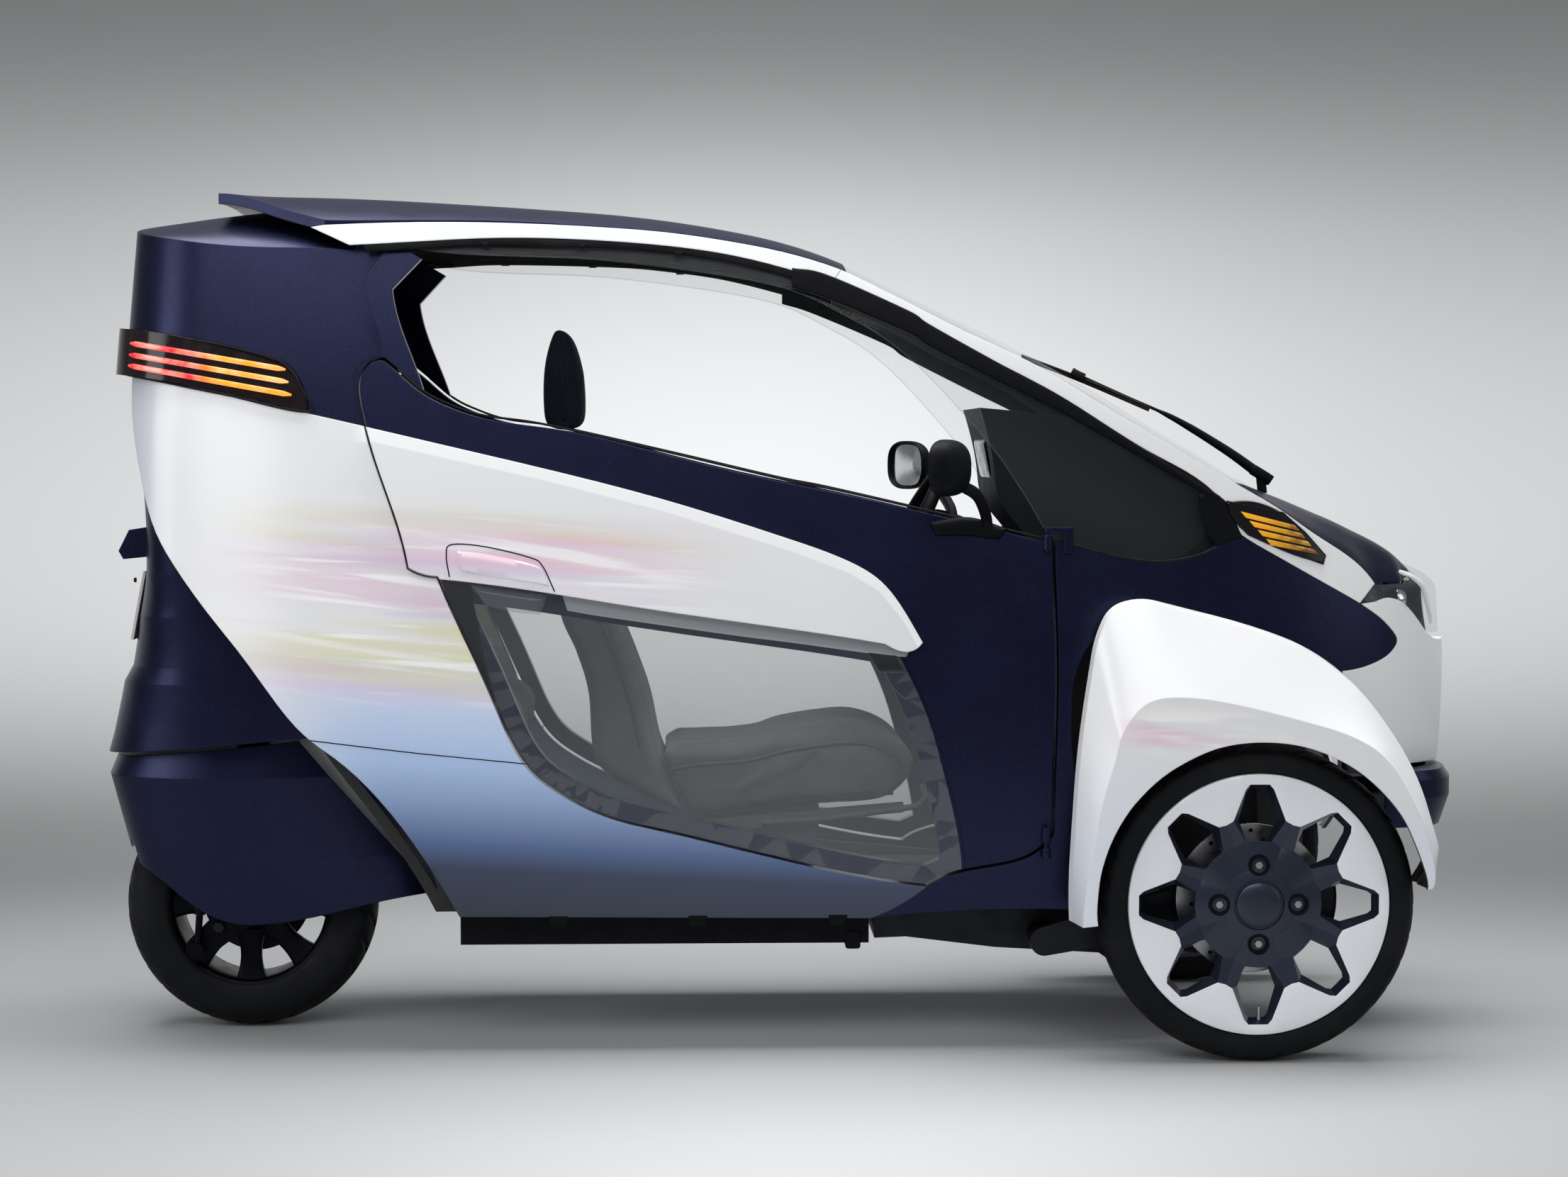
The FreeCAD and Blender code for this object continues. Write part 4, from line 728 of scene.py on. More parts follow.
class CarLook(PropertyGroup):
    """Colours and light a user would change."""

    dark: FloatVectorProperty(
        name="Dark paint",
        description="Body colour of roof, doors and tail",
        subtype="COLOR",
        default=(0.0078, 0.0098, 0.033),
    )
    white: FloatVectorProperty(
        name="Pearl white",
        description="Colour of the light panels",
        subtype="COLOR",
        default=(0.83, 0.83, 0.835),
    )
    disc: FloatVectorProperty(
        name="Wheel disc",
        description="Colour of the star cut wheel discs",
        subtype="COLOR",
        default=(0.86, 0.88, 0.92),
    )
    tint: FloatProperty(
        name="Door glass tint", description="Opacity of one face of a door pane", default=0.17, min=0, max=1
    )
    key: FloatProperty(
        name="Key light", description="Power of the overhead softbox", default=214, unit="POWER"
    )
    fill: FloatProperty(
        name="Fill light", description="Power of the softbox above the camera", default=92, unit="POWER"
    )


class CarSizes(PropertyGroup):
    """Sizes of the added detail."""

    tread_depth: FloatProperty(
        name="Tread depth", description="Depth of the tyre grooves", default=0.0038, unit="LENGTH"
    )
    seal: FloatProperty(
        name="Seal width", description="Width of the rubber window seals", default=0.004, unit="LENGTH"
    )
    bolt: FloatProperty(
        name="Wheel bolt", description="Radius of a wheel bolt's head", default=0.009, unit="LENGTH"
    )
    pile: FloatProperty(
        name="Seat fullness", description="How far the seat cushions swell", default=0.007, unit="LENGTH"
    )
    seam: FloatProperty(
        name="Panel seam", description="Width of a drawn panel seam", default=0.0018, unit="LENGTH"
    )


def look():
    """The scene's colours and light."""
    return bpy.context.scene.car_look


def sizes():
    """The scene's sizes of added detail."""
    return bpy.context.scene.car_sizes


FINISH = {}


def finish(name):
    """The finished material of that name, made once."""
    if name not in FINISH:
        v = look()
        makers = {
            "dark": lambda: dark_paint(v),
            "white": lambda: pearl("pearl_white", v),
            "side": lambda: pearl("pearl_side", v, side_livery_and_painted_light),
            "guard": lambda: pearl("pearl_guard", v, guard_livery_and_shade),
            "rail": lambda: pearl("pearl_rail", v, rail_lining_and_shade),
            # Grey strip of painted light: the backdrop seen through the door glass.
            "border": lambda: pane("glass_border", (0.33, 0.345, 0.36), 0.85, 0.08),
            "black_cast": lambda: metal("black_cast_alloy", (0.009, 0.0095, 0.013), 0.42, 240),
            "black": lambda: plastic("black_moulding", (0.0038, 0.0043, 0.0056), 0.5, gloss=0.08),
            "gloss": lambda: plastic("gloss_black", (0.005, 0.005, 0.0065), 0.16, 60, 0.0001),
            "tub": lambda: tub_plastic("tub_plastic"),
            "grey": lambda: plastic("cabin_grey", (0.1, 0.104, 0.115), 0.6),
            "dash": lambda: plastic("dash_grain", (0.0085, 0.0105, 0.0135), 0.6, 420, 0.0002, gloss=0.15),
            "rubber": lambda: rubber("seal_rubber"),
            "tyre": lambda: rubber("tyre_rubber", (0.0045, 0.0052, 0.0065), (0.009, 0.0095, 0.0105)),
            "steel": lambda: metal("machined_steel", (0.5, 0.5, 0.52), 0.28),
            "dark_cast": lambda: metal("dark_cast_alloy", (0.026, 0.027, 0.032), 0.45, 240),
            "disc": lambda: disc_paint(v),
            "spider": lambda: spider_paint(v),
            "clear": lambda: pane("clear_pane", (0.12, 0.14, 0.15), 0.055),
            "screen": lambda: pane("screen_pane", (0.06, 0.07, 0.08), 0.12),
            "tinted": lambda: pane("tinted_pane", (0.25, 0.27, 0.29), v.tint),
            "print": lambda: pane("printed_border", (0.012, 0.014, 0.017), 0.9, 0.1),
            "lens": lambda: pane("lamp_lens", (0.16, 0.18, 0.21), 0.12),
            "smoked": lambda: plastic("smoked_lens", (0.012, 0.006, 0.008), 0.1, 40, 0.00005),
            "mirror": lambda: metal("mirror_glass", (0.86, 0.88, 0.9), 0.09, 20),
            "plate": lambda: plastic("plate_blank", (0.62, 0.62, 0.6), 0.4, 400, 0.0002),
            "seat": lambda: cloth("seat_cloth", (0.105, 0.112, 0.122), (0.15, 0.158, 0.17), 0.2),
            "headrest": lambda: cloth("headrest_cloth", (0.009, 0.0105, 0.022), (0.014, 0.016, 0.034), 0.06),
            "piping": lambda: rubber("seat_piping", (0.07, 0.075, 0.085), (0.1, 0.107, 0.12)),
            "tail": lambda: glow("tail_glow", ((0.9, 0.012, 0.02), -0.985), ((0.9, 0.3, 0.015), -0.935), 0.8),
            "amber": lambda: amber_glow("amber_glow"),
            # Glowing strip that paints the headlamp's highlight.
            "painted_lamp_highlight": lambda: glow("headlamp_painted_highlight", ((0.5, 0.54, 0.6), 0.9), ((0.7, 0.74, 0.8), 1.2), 0.2),
        }
        FINISH[name] = makers[name]()
    return FINISH[name]


NODE_FINISH = {
    "dark": "rear_pod rear_panel roof_panel bonnet rear_cover front_side_panels lower_bumper "
    "door_right_shell door_left_shell",
    "white": "nose_cap",
    "rail": "roof_rails front_pillars",
    "side": "rear_quarters door_right_band door_left_band",
    "guard": "front_fenders",
    "black": "battery_box door_right_handle door_left_handle wiper steering_column steering_wheel "
    "door_right_mirror door_left_mirror",
    "tub": "floor_tub",
    "dash": "dashboard",
    "grey": "seat_frame",
    "clear": "side_windows",
    "screen": "windscreen",
    "tinted": "door_right_glass door_left_glass",
    "lens": "headlamps",
    "gloss": "turn_lamps",
    "smoked": "tail_lamps",
    "seat": "front_seat_base front_seat_back rear_seat",
    "headrest": "front_headrest",
    "dark_cast": "suspension_arms knuckles",
    "black_cast": "steer_fork rear_frame rear_damper",
    "disc": "front_right_rim front_left_rim",
    "spider": "rear_rim",
    "plate": "number_plate",
    "tyre": "front_right_tyre front_left_tyre rear_tyre",
}


# Operators, one for each piece or group of like pieces


class CAR_OT_paint(Operator):
    """Give every frame node its finished material"""

    bl_idname = "car.paint"
    bl_label = "Paint the frame"

    def execute(self, context):
        for name, nodes in NODE_FINISH.items():
            for node in nodes.split():
                mesh = NODES[node].data
                mesh.materials.clear()
                mesh.materials.append(finish(name))
        return {"FINISHED"}


def tyre_grid(radius, half, bead, centre, slots, depth):
    """Tyre skin: a section through bead, bulged wall and crown, turned about the axle.

    The radius drops by the tread depth where the curved slashes of the tread run: their middle is
    where turn * slots + bend * |y|^1.3 is a whole number, shifted by half on the other side."""
    wall = radius - bead
    right = [
        (bead - 0.001, 0.80 * half),
        (bead + 0.05 * wall, 0.92 * half),
        (bead + 0.2 * wall, 0.975 * half),
        (bead + 0.45 * wall, half),
        (bead + 0.66 * wall, 0.955 * half),
        (bead + 0.80 * wall, 0.84 * half),
        (bead + 0.91 * wall, 0.62 * half),
        (bead + 0.975 * wall, 0.34 * half),
        (radius, 0.0),
    ]
    section = smooth(right + [(r, -y) for r, y in right[-2::-1]], 64)
    inner = np.array([(bead - 0.002, -0.7 * half), (bead - 0.002, 0.7 * half)])
    section = np.concatenate([section, inner])
    r, y = section.T
    t = np.linspace(0, 2 * np.pi, 720, endpoint=False)[:, None]
    share = np.abs(y) / half
    phase = t / (2 * np.pi) * slots + 0.9 * share**1.3 + np.where(y > 0, 0.5, 0.0)
    off = np.abs(phase - np.round(phase))
    # A slash takes 0.26 of its spacing and runs from 0.1 to 0.93 of the half width
    groove = np.clip(1 - (off / 0.13) ** 2, 0, 1) ** 0.5
    reach = np.clip((share - 0.1) / 0.06, 0, 1) * np.clip((0.93 - share) / 0.05, 0, 1)
    reach = reach * (r > bead + 0.5 * wall)
    # A fine raised ring on the side wall
    ridge = 0.0006 * np.exp(-(((share - 0.965) / 0.01) ** 2)) * (r < bead + 0.4 * wall)
    rr = r - depth * groove * reach + ridge
    x, z = centre[0] + rr * np.sin(t), centre[2] + rr * np.cos(t)
    return (np.stack([x, np.broadcast_to(centre[1] + y, x.shape), z], axis=-1), True, True)


class CAR_OT_tyres(Operator):
    """Three tyres with grooved treads"""

    bl_idname = "car.tyres"
    bl_label = "Tyres"

    def execute(self, context):
        for name, size, centre, slots in (
            ("front_right", FRONT_TYRE, FRONT_AXLE, 34),
            ("front_left", FRONT_TYRE, FRONT_AXLE * (1, -1, 1), 34),
            ("rear", REAR_TYRE, REAR_AXLE, 28),
        ):
            grid = tyre_grid(*size, centre, slots, sizes().tread_depth)
            tyre = solid(f"{name}_tyre_tread", [grid], finish("tyre"), f"{name}_wheel", 50)
            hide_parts(f"{name}_tyre")
        return {"FINISHED"}


# Distance of the wheel disc's face from the middle of the wheel
DISC_FACE = 0.0435

# Half of one 45 degree sector of the front wheel's dark star: sideways, outwards from the axle and
# forwards from the disc's face, in mm
STAR = np.array(
    [
        (54.3, 131.2, -1),
        (43, 138, -1),
        (23, 190, -1),
        (16, 198, -1),
        (0, 198, -1),
        (31, 138, -22),
        (18.5, 183, -22),
        (13, 190, -22),
        (0, 190, -22),
        (21, 103, -8),
        (16, 97, -24),
        (0, 97, -24),
        (0, 105, -8),
        (23, 55.4, -3),
        (0, 60, -3),
        (38.3, 92.4, -13),
        (23, 55.4, -26),
        (0, 60, -26),
        (78.4, 189.4, -26),
        (0, 205, -26),
    ],
    float,
)
STAR_QUADS = [(1, 5, 6, 2), (2, 6, 7, 3), (3, 7, 8, 4), (1, 9, 10, 5), (9, 12, 11, 10), (0, 15, 9, 1)]
STAR_QUADS += [(13, 14, 12, 9), (16, 17, 11, 10), (16, 10, 5, 18), (7, 8, 19, 18)]
STAR_TRIS = [(15, 13, 9), (5, 6, 18), (6, 7, 18)]


def around(points):
    """Eight copies of (sideways, outwards, forwards) mm points at even turns about the front axle."""
    t = (np.arange(8) * 2 * np.pi / 8)[:, None]
    u, v, w = (np.asarray(points, float).reshape(-1, 3) * MM).T
    x = FRONT_AXLE[0] + u * np.cos(t) + v * np.sin(t)
    z = FRONT_AXLE[2] - u * np.sin(t) + v * np.cos(t)
    y = np.broadcast_to(FRONT_AXLE[1] - DISC_FACE - w, x.shape)
    return np.stack([x, y, z], axis=-1)


def star_grids():
    """The dark star: each 45 degree sector is the half in STAR and its mirror image."""
    cloud = around(np.concatenate([STAR, STAR * (-1, 1, 1)]))
    count = len(STAR)
    grids = []
    for faces in (np.array(STAR_QUADS), np.array(STAR_TRIS)):
        sector = np.concatenate([faces, faces[:, ::-1] + count])
        every = (sector[None] + (np.arange(8) * 2 * count)[:, None, None]).reshape(-1, faces.shape[1])
        grids.append((cloud, every))
    return grids


def disc_grids():
    """White disc between the star's outline and the rim: rows run from the outline to the rim."""
    line = np.concatenate([STAR[:5, :2] * (-1, 1), STAR[3::-1, :2]])
    outline = np.concatenate([np.linspace(a, b, 7)[:-1] for a, b in zip(line[:-1], line[1:])])
    reach = np.linalg.norm(outline, axis=1)
    turn = np.arctan2(outline[:, 0], outline[:, 1])
    steps = [(0.0, -9.0), (0.0, -0.6), (0.02, 0.0), (0.3, 0.9), (0.65, 0.9)]
    steps += [(0.93, 0.0), (0.985, -1.2), (1.0, -3.5), (1.0, -11.0)]
    rows = []
    for share, rise in steps:
        radius = reach + (215.5 - reach) * share
        rows.append(np.stack([radius * np.sin(turn), radius * np.cos(turn), np.full_like(radius, rise)], axis=1))
    rows.append(rows[0])
    full = around(np.stack(rows)).reshape(8, len(rows), len(turn), 3)
    return [(np.concatenate(list(full), axis=1), False, True)]


def hex_head(centre, radius, height):
    """Six sided bolt head that stands out to the right, its top edge turned down."""
    t = np.linspace(0, 2 * np.pi, 6, endpoint=False)
    rows = [(0.0, 0.0), (radius, 0.0), (radius, height * 0.8), (radius * 0.9, height), (0.0, height)]
    grid = [
        np.stack([centre[0] + r * np.cos(t), np.full(6, centre[1] - h), centre[2] + r * np.sin(t)], axis=1)
        for r, h in rows
    ]
    return (np.stack(grid), False, True)


def about(radius, turn):
    """The place in the front wheel's middle plane at a radius in metres and a turn from the top."""
    return FRONT_AXLE + (radius * math.sin(turn), 0, radius * math.cos(turn))


class CAR_OT_front_wheels(Operator):
    """Front wheels: star cut disc, faceted dark star, hub, bolts, barrel and brake disc"""

    bl_idname = "car.front_wheels"
    bl_label = "Front wheels"

    def execute(self, context):
        c = FRONT_AXLE
        face = -DISC_FACE
        hub = [(0.0, face - 0.004), (0.02, face - 0.0036), (0.033, face - 0.002), (0.0365, face + 0.0005)]
        hub += [(0.0375, face + 0.004), (0.0405, face + 0.004), (0.042, face), (0.052, face + 0.001)]
        hub += [(0.06, face + 0.0035), (0.0605, face + 0.05), (0.0, face + 0.05)]
        barrel = [(0.2155, face + 0.01), (0.209, face + 0.012), (0.2075, 0.02), (0.208, 0.038), (0.2155, 0.0385)]
        barrel += [(0.2165, 0.034), (0.2165, face + 0.016)]
        rotor = [(0.062, 0.0312), (0.124, 0.0312), (0.125, 0.0322), (0.125, 0.0358), (0.124, 0.0368), (0.062, 0.0368)]
        bell = [(0.0151, -0.02), (0.047, -0.02), (0.048, 0.03), (0.066, 0.0305), (0.066, 0.0375), (0.0151, 0.0375)]
        places = [about(0.065, turn) for turn in np.linspace(0, 2 * np.pi, 4, endpoint=False)]
        cup = [(0.0, face + 0.006), (0.0115, face + 0.006), (0.0125, face - 0.0005), (0.0165, face - 0.0008)]
        cup += [(0.0178, face + 0.0015), (0.0178, face + 0.022), (0.0, face + 0.022)]
        # Black plugs in the brake disc's drilled holes: painted shade in place of open holes.
        drilled = [(0.0, 0.0309), (0.0036, 0.0309), (0.0036, 0.0371), (0.0, 0.0371)]
        turns = np.linspace(0, 2 * np.pi, 30, endpoint=False)
        hole_shade_plugs = [turned(drilled, about((0.113, 0.099, 0.086)[i % 3], turn), 10) for i, turn in enumerate(turns)]
        valve = FRONT_AXLE + [(0.004, -0.026, -0.196), (0.004, -0.026, -0.184), (0.004, -0.026, -0.172)]
        stem = sweep(valve, ring_profile(0.0042, count=10), scale=[1.0, 0.7, 0.9])
        bolts = [hex_head(p + (0, face + 0.006, 0), sizes().bolt * 0.75, 0.005) for p in places]
        parts = {
            "disc": (disc_grids(), "disc", "wheel_paint", 30),
            "star": (star_grids(), "spider", "wheel_paint", 20),
            "hub": ([turned(hub, c)], "spider", "wheel_paint", 35),
            "cups": ([turned(cup, p, 32) for p in places], "black", "wheel_paint", 35),
            "bolts": (bolts + [stem], "steel", "steel", 35),
            "barrel": ([turned(barrel, c, 128, True)], "spider", "wheel_paint", 35),
            "brake": ([turned(rotor, c, 96, True), turned(bell, c, 64, True)], "steel", "steel", 35),
            "brake_hole_shade_plugs": (hole_shade_plugs, "black", "steel", 35),
        }
        for side in ("right", "left"):
            wheel = f"front_{side}_wheel"
            for name, (grids, coat, slot, angle) in parts.items():
                piece = solid(f"front_{side}_{name}", handed(side)(grids), finish(coat), wheel, angle)
                if name == "disc":
                    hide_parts(f"front_{side}_rim")
        return {"FINISHED"}


class CAR_OT_rear_wheel(Operator):
    """Rear wheel: barrel with rolled lips, hub and eight broad spokes"""

    bl_idname = "car.rear_wheel"
    bl_label = "Rear wheel"

    def execute(self, context):
        c = REAR_AXLE
        half = [(0.137, 0.056), (0.141, 0.057), (0.1415, 0.0535), (0.138, 0.051), (0.1365, 0.03)]
        inner = [(0.13, 0.0), (0.1315, 0.04), (0.1335, 0.052)]
        profile = half + [(r, -y) for r, y in half[::-1]] + [(r, -y) for r, y in inner[::-1]] + inner[1:]
        hub = [(0.0121, -0.058), (0.03, -0.058), (0.034, -0.052), (0.05, -0.046), (0.054, -0.04), (0.054, 0.04)]
        hub += [(0.05, 0.046), (0.034, 0.052), (0.03, 0.058), (0.0121, 0.058)]
        spokes = []
        for turn in np.linspace(0, 2 * np.pi, 8, endpoint=False):
            reach = np.linspace(0.046, 0.134, 8)
            path = np.stack([c[0] + reach * math.sin(turn), np.full(8, -0.036), c[2] + reach * math.cos(turn)], axis=1)
            wide = 1 + 0.5 * ((reach - 0.09) / 0.045) ** 2
            spokes.append(sweep(path, ring_profile(0.0185, 0.009, 16, 4), scale=wide))
        grids = [turned(profile, c, 112, True), turned(hub, c, 64, True)] + spokes
        wheel = solid("rear_wheel_casting", grids, finish("black_cast"), "rear_wheel")
        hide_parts("rear_rim")
        rotor = [(0.056, 0.0305), (0.095, 0.0305), (0.095, 0.0345), (0.056, 0.0345)]
        solid("rear_brake_disc", [turned(rotor, c, 80, True)], finish("dark_cast"), "rear_wheel")
        return {"FINISHED"}


def lamp_curve(z, lift):
    """Plan outline of the tail lamps at height z in mm: |y/w|^5 + ((x + 700) / (tip + 700))^5 = 1."""
    y = np.sin(np.linspace(0.98, np.pi / 2, 400))
    full = upper_width(z) + 4 + lift
    tip = -1152 + 30 * (z - 1000) / 400 + 9 - lift
    x = -700 + (tip + 700) * (1 - y**5) ** 0.2
    return np.stack([x, -y * full], axis=1)


def lamp_bar(z_back, z_front, x_front, high=9, lift=-0.4):
    """One glowing bar round the rear corner, high mm in height: it sinks evenly from back to front."""
    plan = lamp_curve((z_back + z_front) / 2, lift)
    plan = even(plan[plan[:, 0] < x_front], 60)
    share = np.clip((plan[:, 0] + 1120) / (x_front + 1120), 0, 1)
    z = z_back + (z_front - z_back) * share
    path = np.stack([plan[:, 0], plan[:, 1], z], axis=1) * MM
    out = np.stack([path[:, 0] + 0.7, path[:, 1] * 2.2, np.zeros(60)], axis=1)
    taper = np.clip(np.minimum(np.arange(60), 59 - np.arange(60)) / 4 + 0.35, 0, 1)
    return sweep(path, ring_profile(high / 2 * MM, 0.0018, 12, 3), out=out, scale=taper)


def lens_x(y, z):
    """The headlamp's front surface: the nose's, leaning back above 765 mm by 53 * (rise / 44)^2 mm."""
    return nose_x(y, z) - 53 * (np.maximum(z - 765, 0) / 44) ** 2


class CAR_OT_lamps(Operator):
    """Glowing bars and seals of the tail and turn lamps, and the headlamps"""

    bl_idname = "car.lamps"
    bl_label = "Lamps"

    def execute(self, context):
        bars = [lamp_bar(*ends) for ends in ((1190, 1140, -826), (1171, 1119, -820), (1153, 1098, -815))]
        solid("tail_lamp_bars", both(bars), finish("tail"), "body")
        rim = [(-1100, 1133), (-950, 1105), (-793, 1071), (-803, 1115), (-823, 1144), (-853, 1160)]
        rim += [(-950, 1184), (-1100, 1208)]
        seal = side_line(rim, 4, 2.5, 120, lift=4)
        solid("tail_lamp_seals", both([seal]), finish("rubber"), "body")
        stripes = []
        for i in range(4):
            left, top = 760 + i * 15, 906 - i * 15.5
            right, low = 862 + i * 11.5, 881 - i * 13.5
            upper = [(left - 3, top + 1), (right, low)]
            under = [(left + 8, top - 12), (right + 9, low - 11)]
            stripes += side_slab(upper, under, 4.4, 1, 6, 24, 2.5)
        solid("turn_lamp_bars", both(stripes), finish("amber"), "body")
        rim = [(737, 922), (838, 902), (879, 868), (916, 829), (911, 815), (822, 846), (775, 866), (751, 889)]
        seal = side_line(straight(rim, True), 2.5, 3.5, 200, True)
        solid("turn_lamp_seals", both([seal]), finish("rubber"), "body")
        self.headlamps()
        return {"FINISHED"}

    def headlamps(self):
        """Domed lens, the dark bowl behind it, a glowing strip inside as a painted highlight, and the round projector.
        """
        y = np.linspace(45, 174, 40)
        high = np.interp(y, [45, 62, 80, 95, 108, 174], [809, 806, 796, 784, 779, 776])
        low = np.interp(y, [45, 75, 112, 138, 174], [689, 689, 724, 747, 748])
        share = np.linspace(0, 1, 24)[:, None]

        def skin(inset, back):
            """The lamp's front, drawn in at its top and bottom and set back, in mm."""
            across = np.broadcast_to(y, (24, 40))
            z = (low + inset) * (1 - share) + (high - inset) * share
            return np.stack([lens_x(across, z) - back, -across, z], axis=-1) * MM

        lens = solid("headlamp_lenses", both(shut(skin(0, 0), skin(2, 5))), finish("lens"), "body")
        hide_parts("headlamps")
        bowl = skin(3, 9)
        hollow = 20 * np.exp(-(((y - 112) / 34) ** 2))[None] * np.sin(np.pi * share)
        bowl[..., 0] -= hollow * MM
        bowl = bowl[:, 8:]
        solid("headlamp_bowls", both(shut(bowl, bowl - (0.012, 0, 0))), finish("gloss"), "body")
        # A glowing strip in the headlamp: a painted highlight.
        t = np.linspace(0, 1, 40)
        across, height = 92 - 38 * t**0.55, 796 - 92 * t
        path = np.stack([lens_x(across, height) - 8, -across, height], axis=1) * MM
        edge = sweep(path, ring_profile(0.0075, 0.003, 12), out=(0.7, -0.7, 0), scale=0.5 + 0.5 * np.sin(np.pi * t))
        solid("headlamp_painted_highlights", both([edge]), finish("painted_lamp_highlight"), "body")
        radius, along = np.array([(0.0, -0.02), (0.012, -0.017), (0.019, -0.008), (0.021, 0.0), (0.0, 0.0)]).T
        turn = np.linspace(0, 2 * np.pi, 28, endpoint=False)[:, None]
        x = np.broadcast_to(1.06 - along, (28, 5))
        dome = np.stack([x, -0.112 + radius * np.cos(turn), 0.75 + radius * np.sin(turn)], axis=-1)
        solid("headlamp_projectors", both([(dome, True, False)]), finish("mirror"), "body")


# Side view lines of the door in mm: the lower edge of the open side, and the white band's top
BELT = [(442, 857), (299, 892), (100, 938), (0, 958), (-200, 1005), (-400, 1050), (-502, 1065), (-562, 1085)]
BELT += [(-602, 1106), (-643, 1141)]
BAND_TOP = [(-680, 1040), (-400, 977), (-200, 925), (0, 862), (99, 825), (149, 795), (189, 746), (219, 692)]


class CAR_OT_doors(Operator):
    """Door trim: handle flap and its groove, window seal, the glass's printed borders, a grey strip painted as the
    backdrop seen through the glass, and the pull
    """

    bl_idname = "car.doors"
    bl_label = "Door trim"

    def execute(self, context):
        flap_top = [(-549, 848), (-500, 843), (-421, 826), (-402, 812)]
        flap_low = [(-541, 805), (-490, 795), (-410, 783), (-388, 779)]
        flap = side_slab(flap_top, flap_low, 18.6, -15, 8, 40, 7)
        groove = [(-556, 800), (-561, 835), (-553, 853), (-500, 850), (-425, 832), (-404, 818), (-384, 776)]
        groove = [side_line(groove, 2.2, 0.7, 90, lift=16)]
        belt = [side_line(BELT, sizes().seal / MM, 1.8, 160, lift=-2)]
        left = [(-570, 792), (-545, 722), (-514, 655), (-484, 588)]
        right = [(-522, 784), (-510, 716), (-496, 652), (-480, 590)]
        wedge = side_slab(left, right, 0.4, 1, 6, 50, 1)
        corner = side_slab([(120, 694), (170, 688)], [(150, 640), (194, 640)], 0.4, 1, 6, 30, 1)
        # A grey strip over the dark frame behind the glass: painted light, standing for the bright backdrop seen
        # through the glass.
        under = [(-372, 769), (-300, 757), (-100, 727), (0, 713), (100, 698), (159, 689), (206, 686)]
        lower = [(-364, 744), (-300, 733), (-100, 704), (0, 691), (100, 677), (159, 669), (196, 666)]
        border = side_slab(under, lower, 0.5, 1, 6, 80, 2)
        upper, lower = [(-524, 787), (-462, 778), (-396, 769)], [(-498, 752), (-455, 742), (-408, 738)]
        pull = side_slab(upper, lower, 14, 0, 12, 40, 12)
        for side in ("right", "left"):
            body, turn = f"door_{side}", handed(side)
            solid(f"{body}_flap", turn(flap), finish("side"), body)
            solid(f"{body}_flap_groove", turn(groove), finish("rubber"), body)
            solid(f"{body}_belt_seal", turn(belt), finish("rubber"), body)
            solid(f"{body}_glass_print", turn(wedge + corner), finish("print"), body)
            solid(f"{body}_glass_border", turn(border), finish("border"), body)
            handle = solid(f"{body}_pull", turn(pull), finish("tinted"), body)
            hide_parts(f"{body}_handle")
        return {"FINISHED"}


# Side view curves of the seat pads in mm, each pair meeting at both ends
SEAT_TOP = [(-216, 488), (-205, 503), (-150, 505), (-60, 512), (4, 529), (106, 542), (168, 534), (209, 508)]
SEAT_TOP += [(229, 478)]
SEAT_UNDER = [(-216, 488), (-190, 436), (-156, 386), (0, 396), (162, 408), (212, 434), (229, 478)]
BACK_FACE = [(-164, 386), (-190, 438), (-218, 494), (-237, 580), (-262, 652), (-298, 749), (-330, 900), (-343, 1028)]
BACK_FACE += [(-352, 1039), (-378, 1042)]
BACK_REAR = [(-164, 386), (-250, 421), (-320, 470), (-334, 590), (-355, 662), (-385, 739), (-400, 900), (-414, 1028)]
BACK_REAR += [(-404, 1039), (-378, 1042)]
REST_FACE = [(-380, 1044), (-350, 1050), (-342, 1080), (-351, 1165), (-366, 1206), (-387, 1216)]
REST_REAR = [(-380, 1044), (-412, 1050), (-420, 1080), (-418, 1154), (-402, 1211), (-387, 1216)]
BENCH_TOP = [(-688, 614), (-640, 592), (-560, 598), (-500, 604), (-455, 590), (-441, 560)]
BENCH_UNDER = [(-688, 614), (-712, 545), (-698, 486), (-600, 444), (-484, 444), (-441, 560)]
REAR_FACE = [(-716, 556), (-697, 600), (-694, 640), (-735, 800), (-762, 1000), (-768, 1045), (-786, 1058)]
REAR_BACK = [(-716, 556), (-764, 562), (-775, 640), (-790, 800), (-803, 1000), (-804, 1045), (-786, 1058)]

SEAT_SEAM = [(-200, 462), (-150, 470), (-60, 478), (4, 494), (100, 508), (152, 502), (186, 482), (203, 452)]
BACK_SEAM = [(-246, 500), (-266, 585), (-291, 660), (-326, 755), (-356, 900), (-366, 1015)]
REST_SEAM = [(-381, 1060), (-381, 1110), (-385, 1165), (-388, 1200)]
BENCH_SEAM = [(-660, 560), (-600, 562), (-520, 568), (-478, 555), (-462, 530)]
REAR_SEAM = [(-724, 610), (-740, 700), (-760, 800), (-780, 1000)]


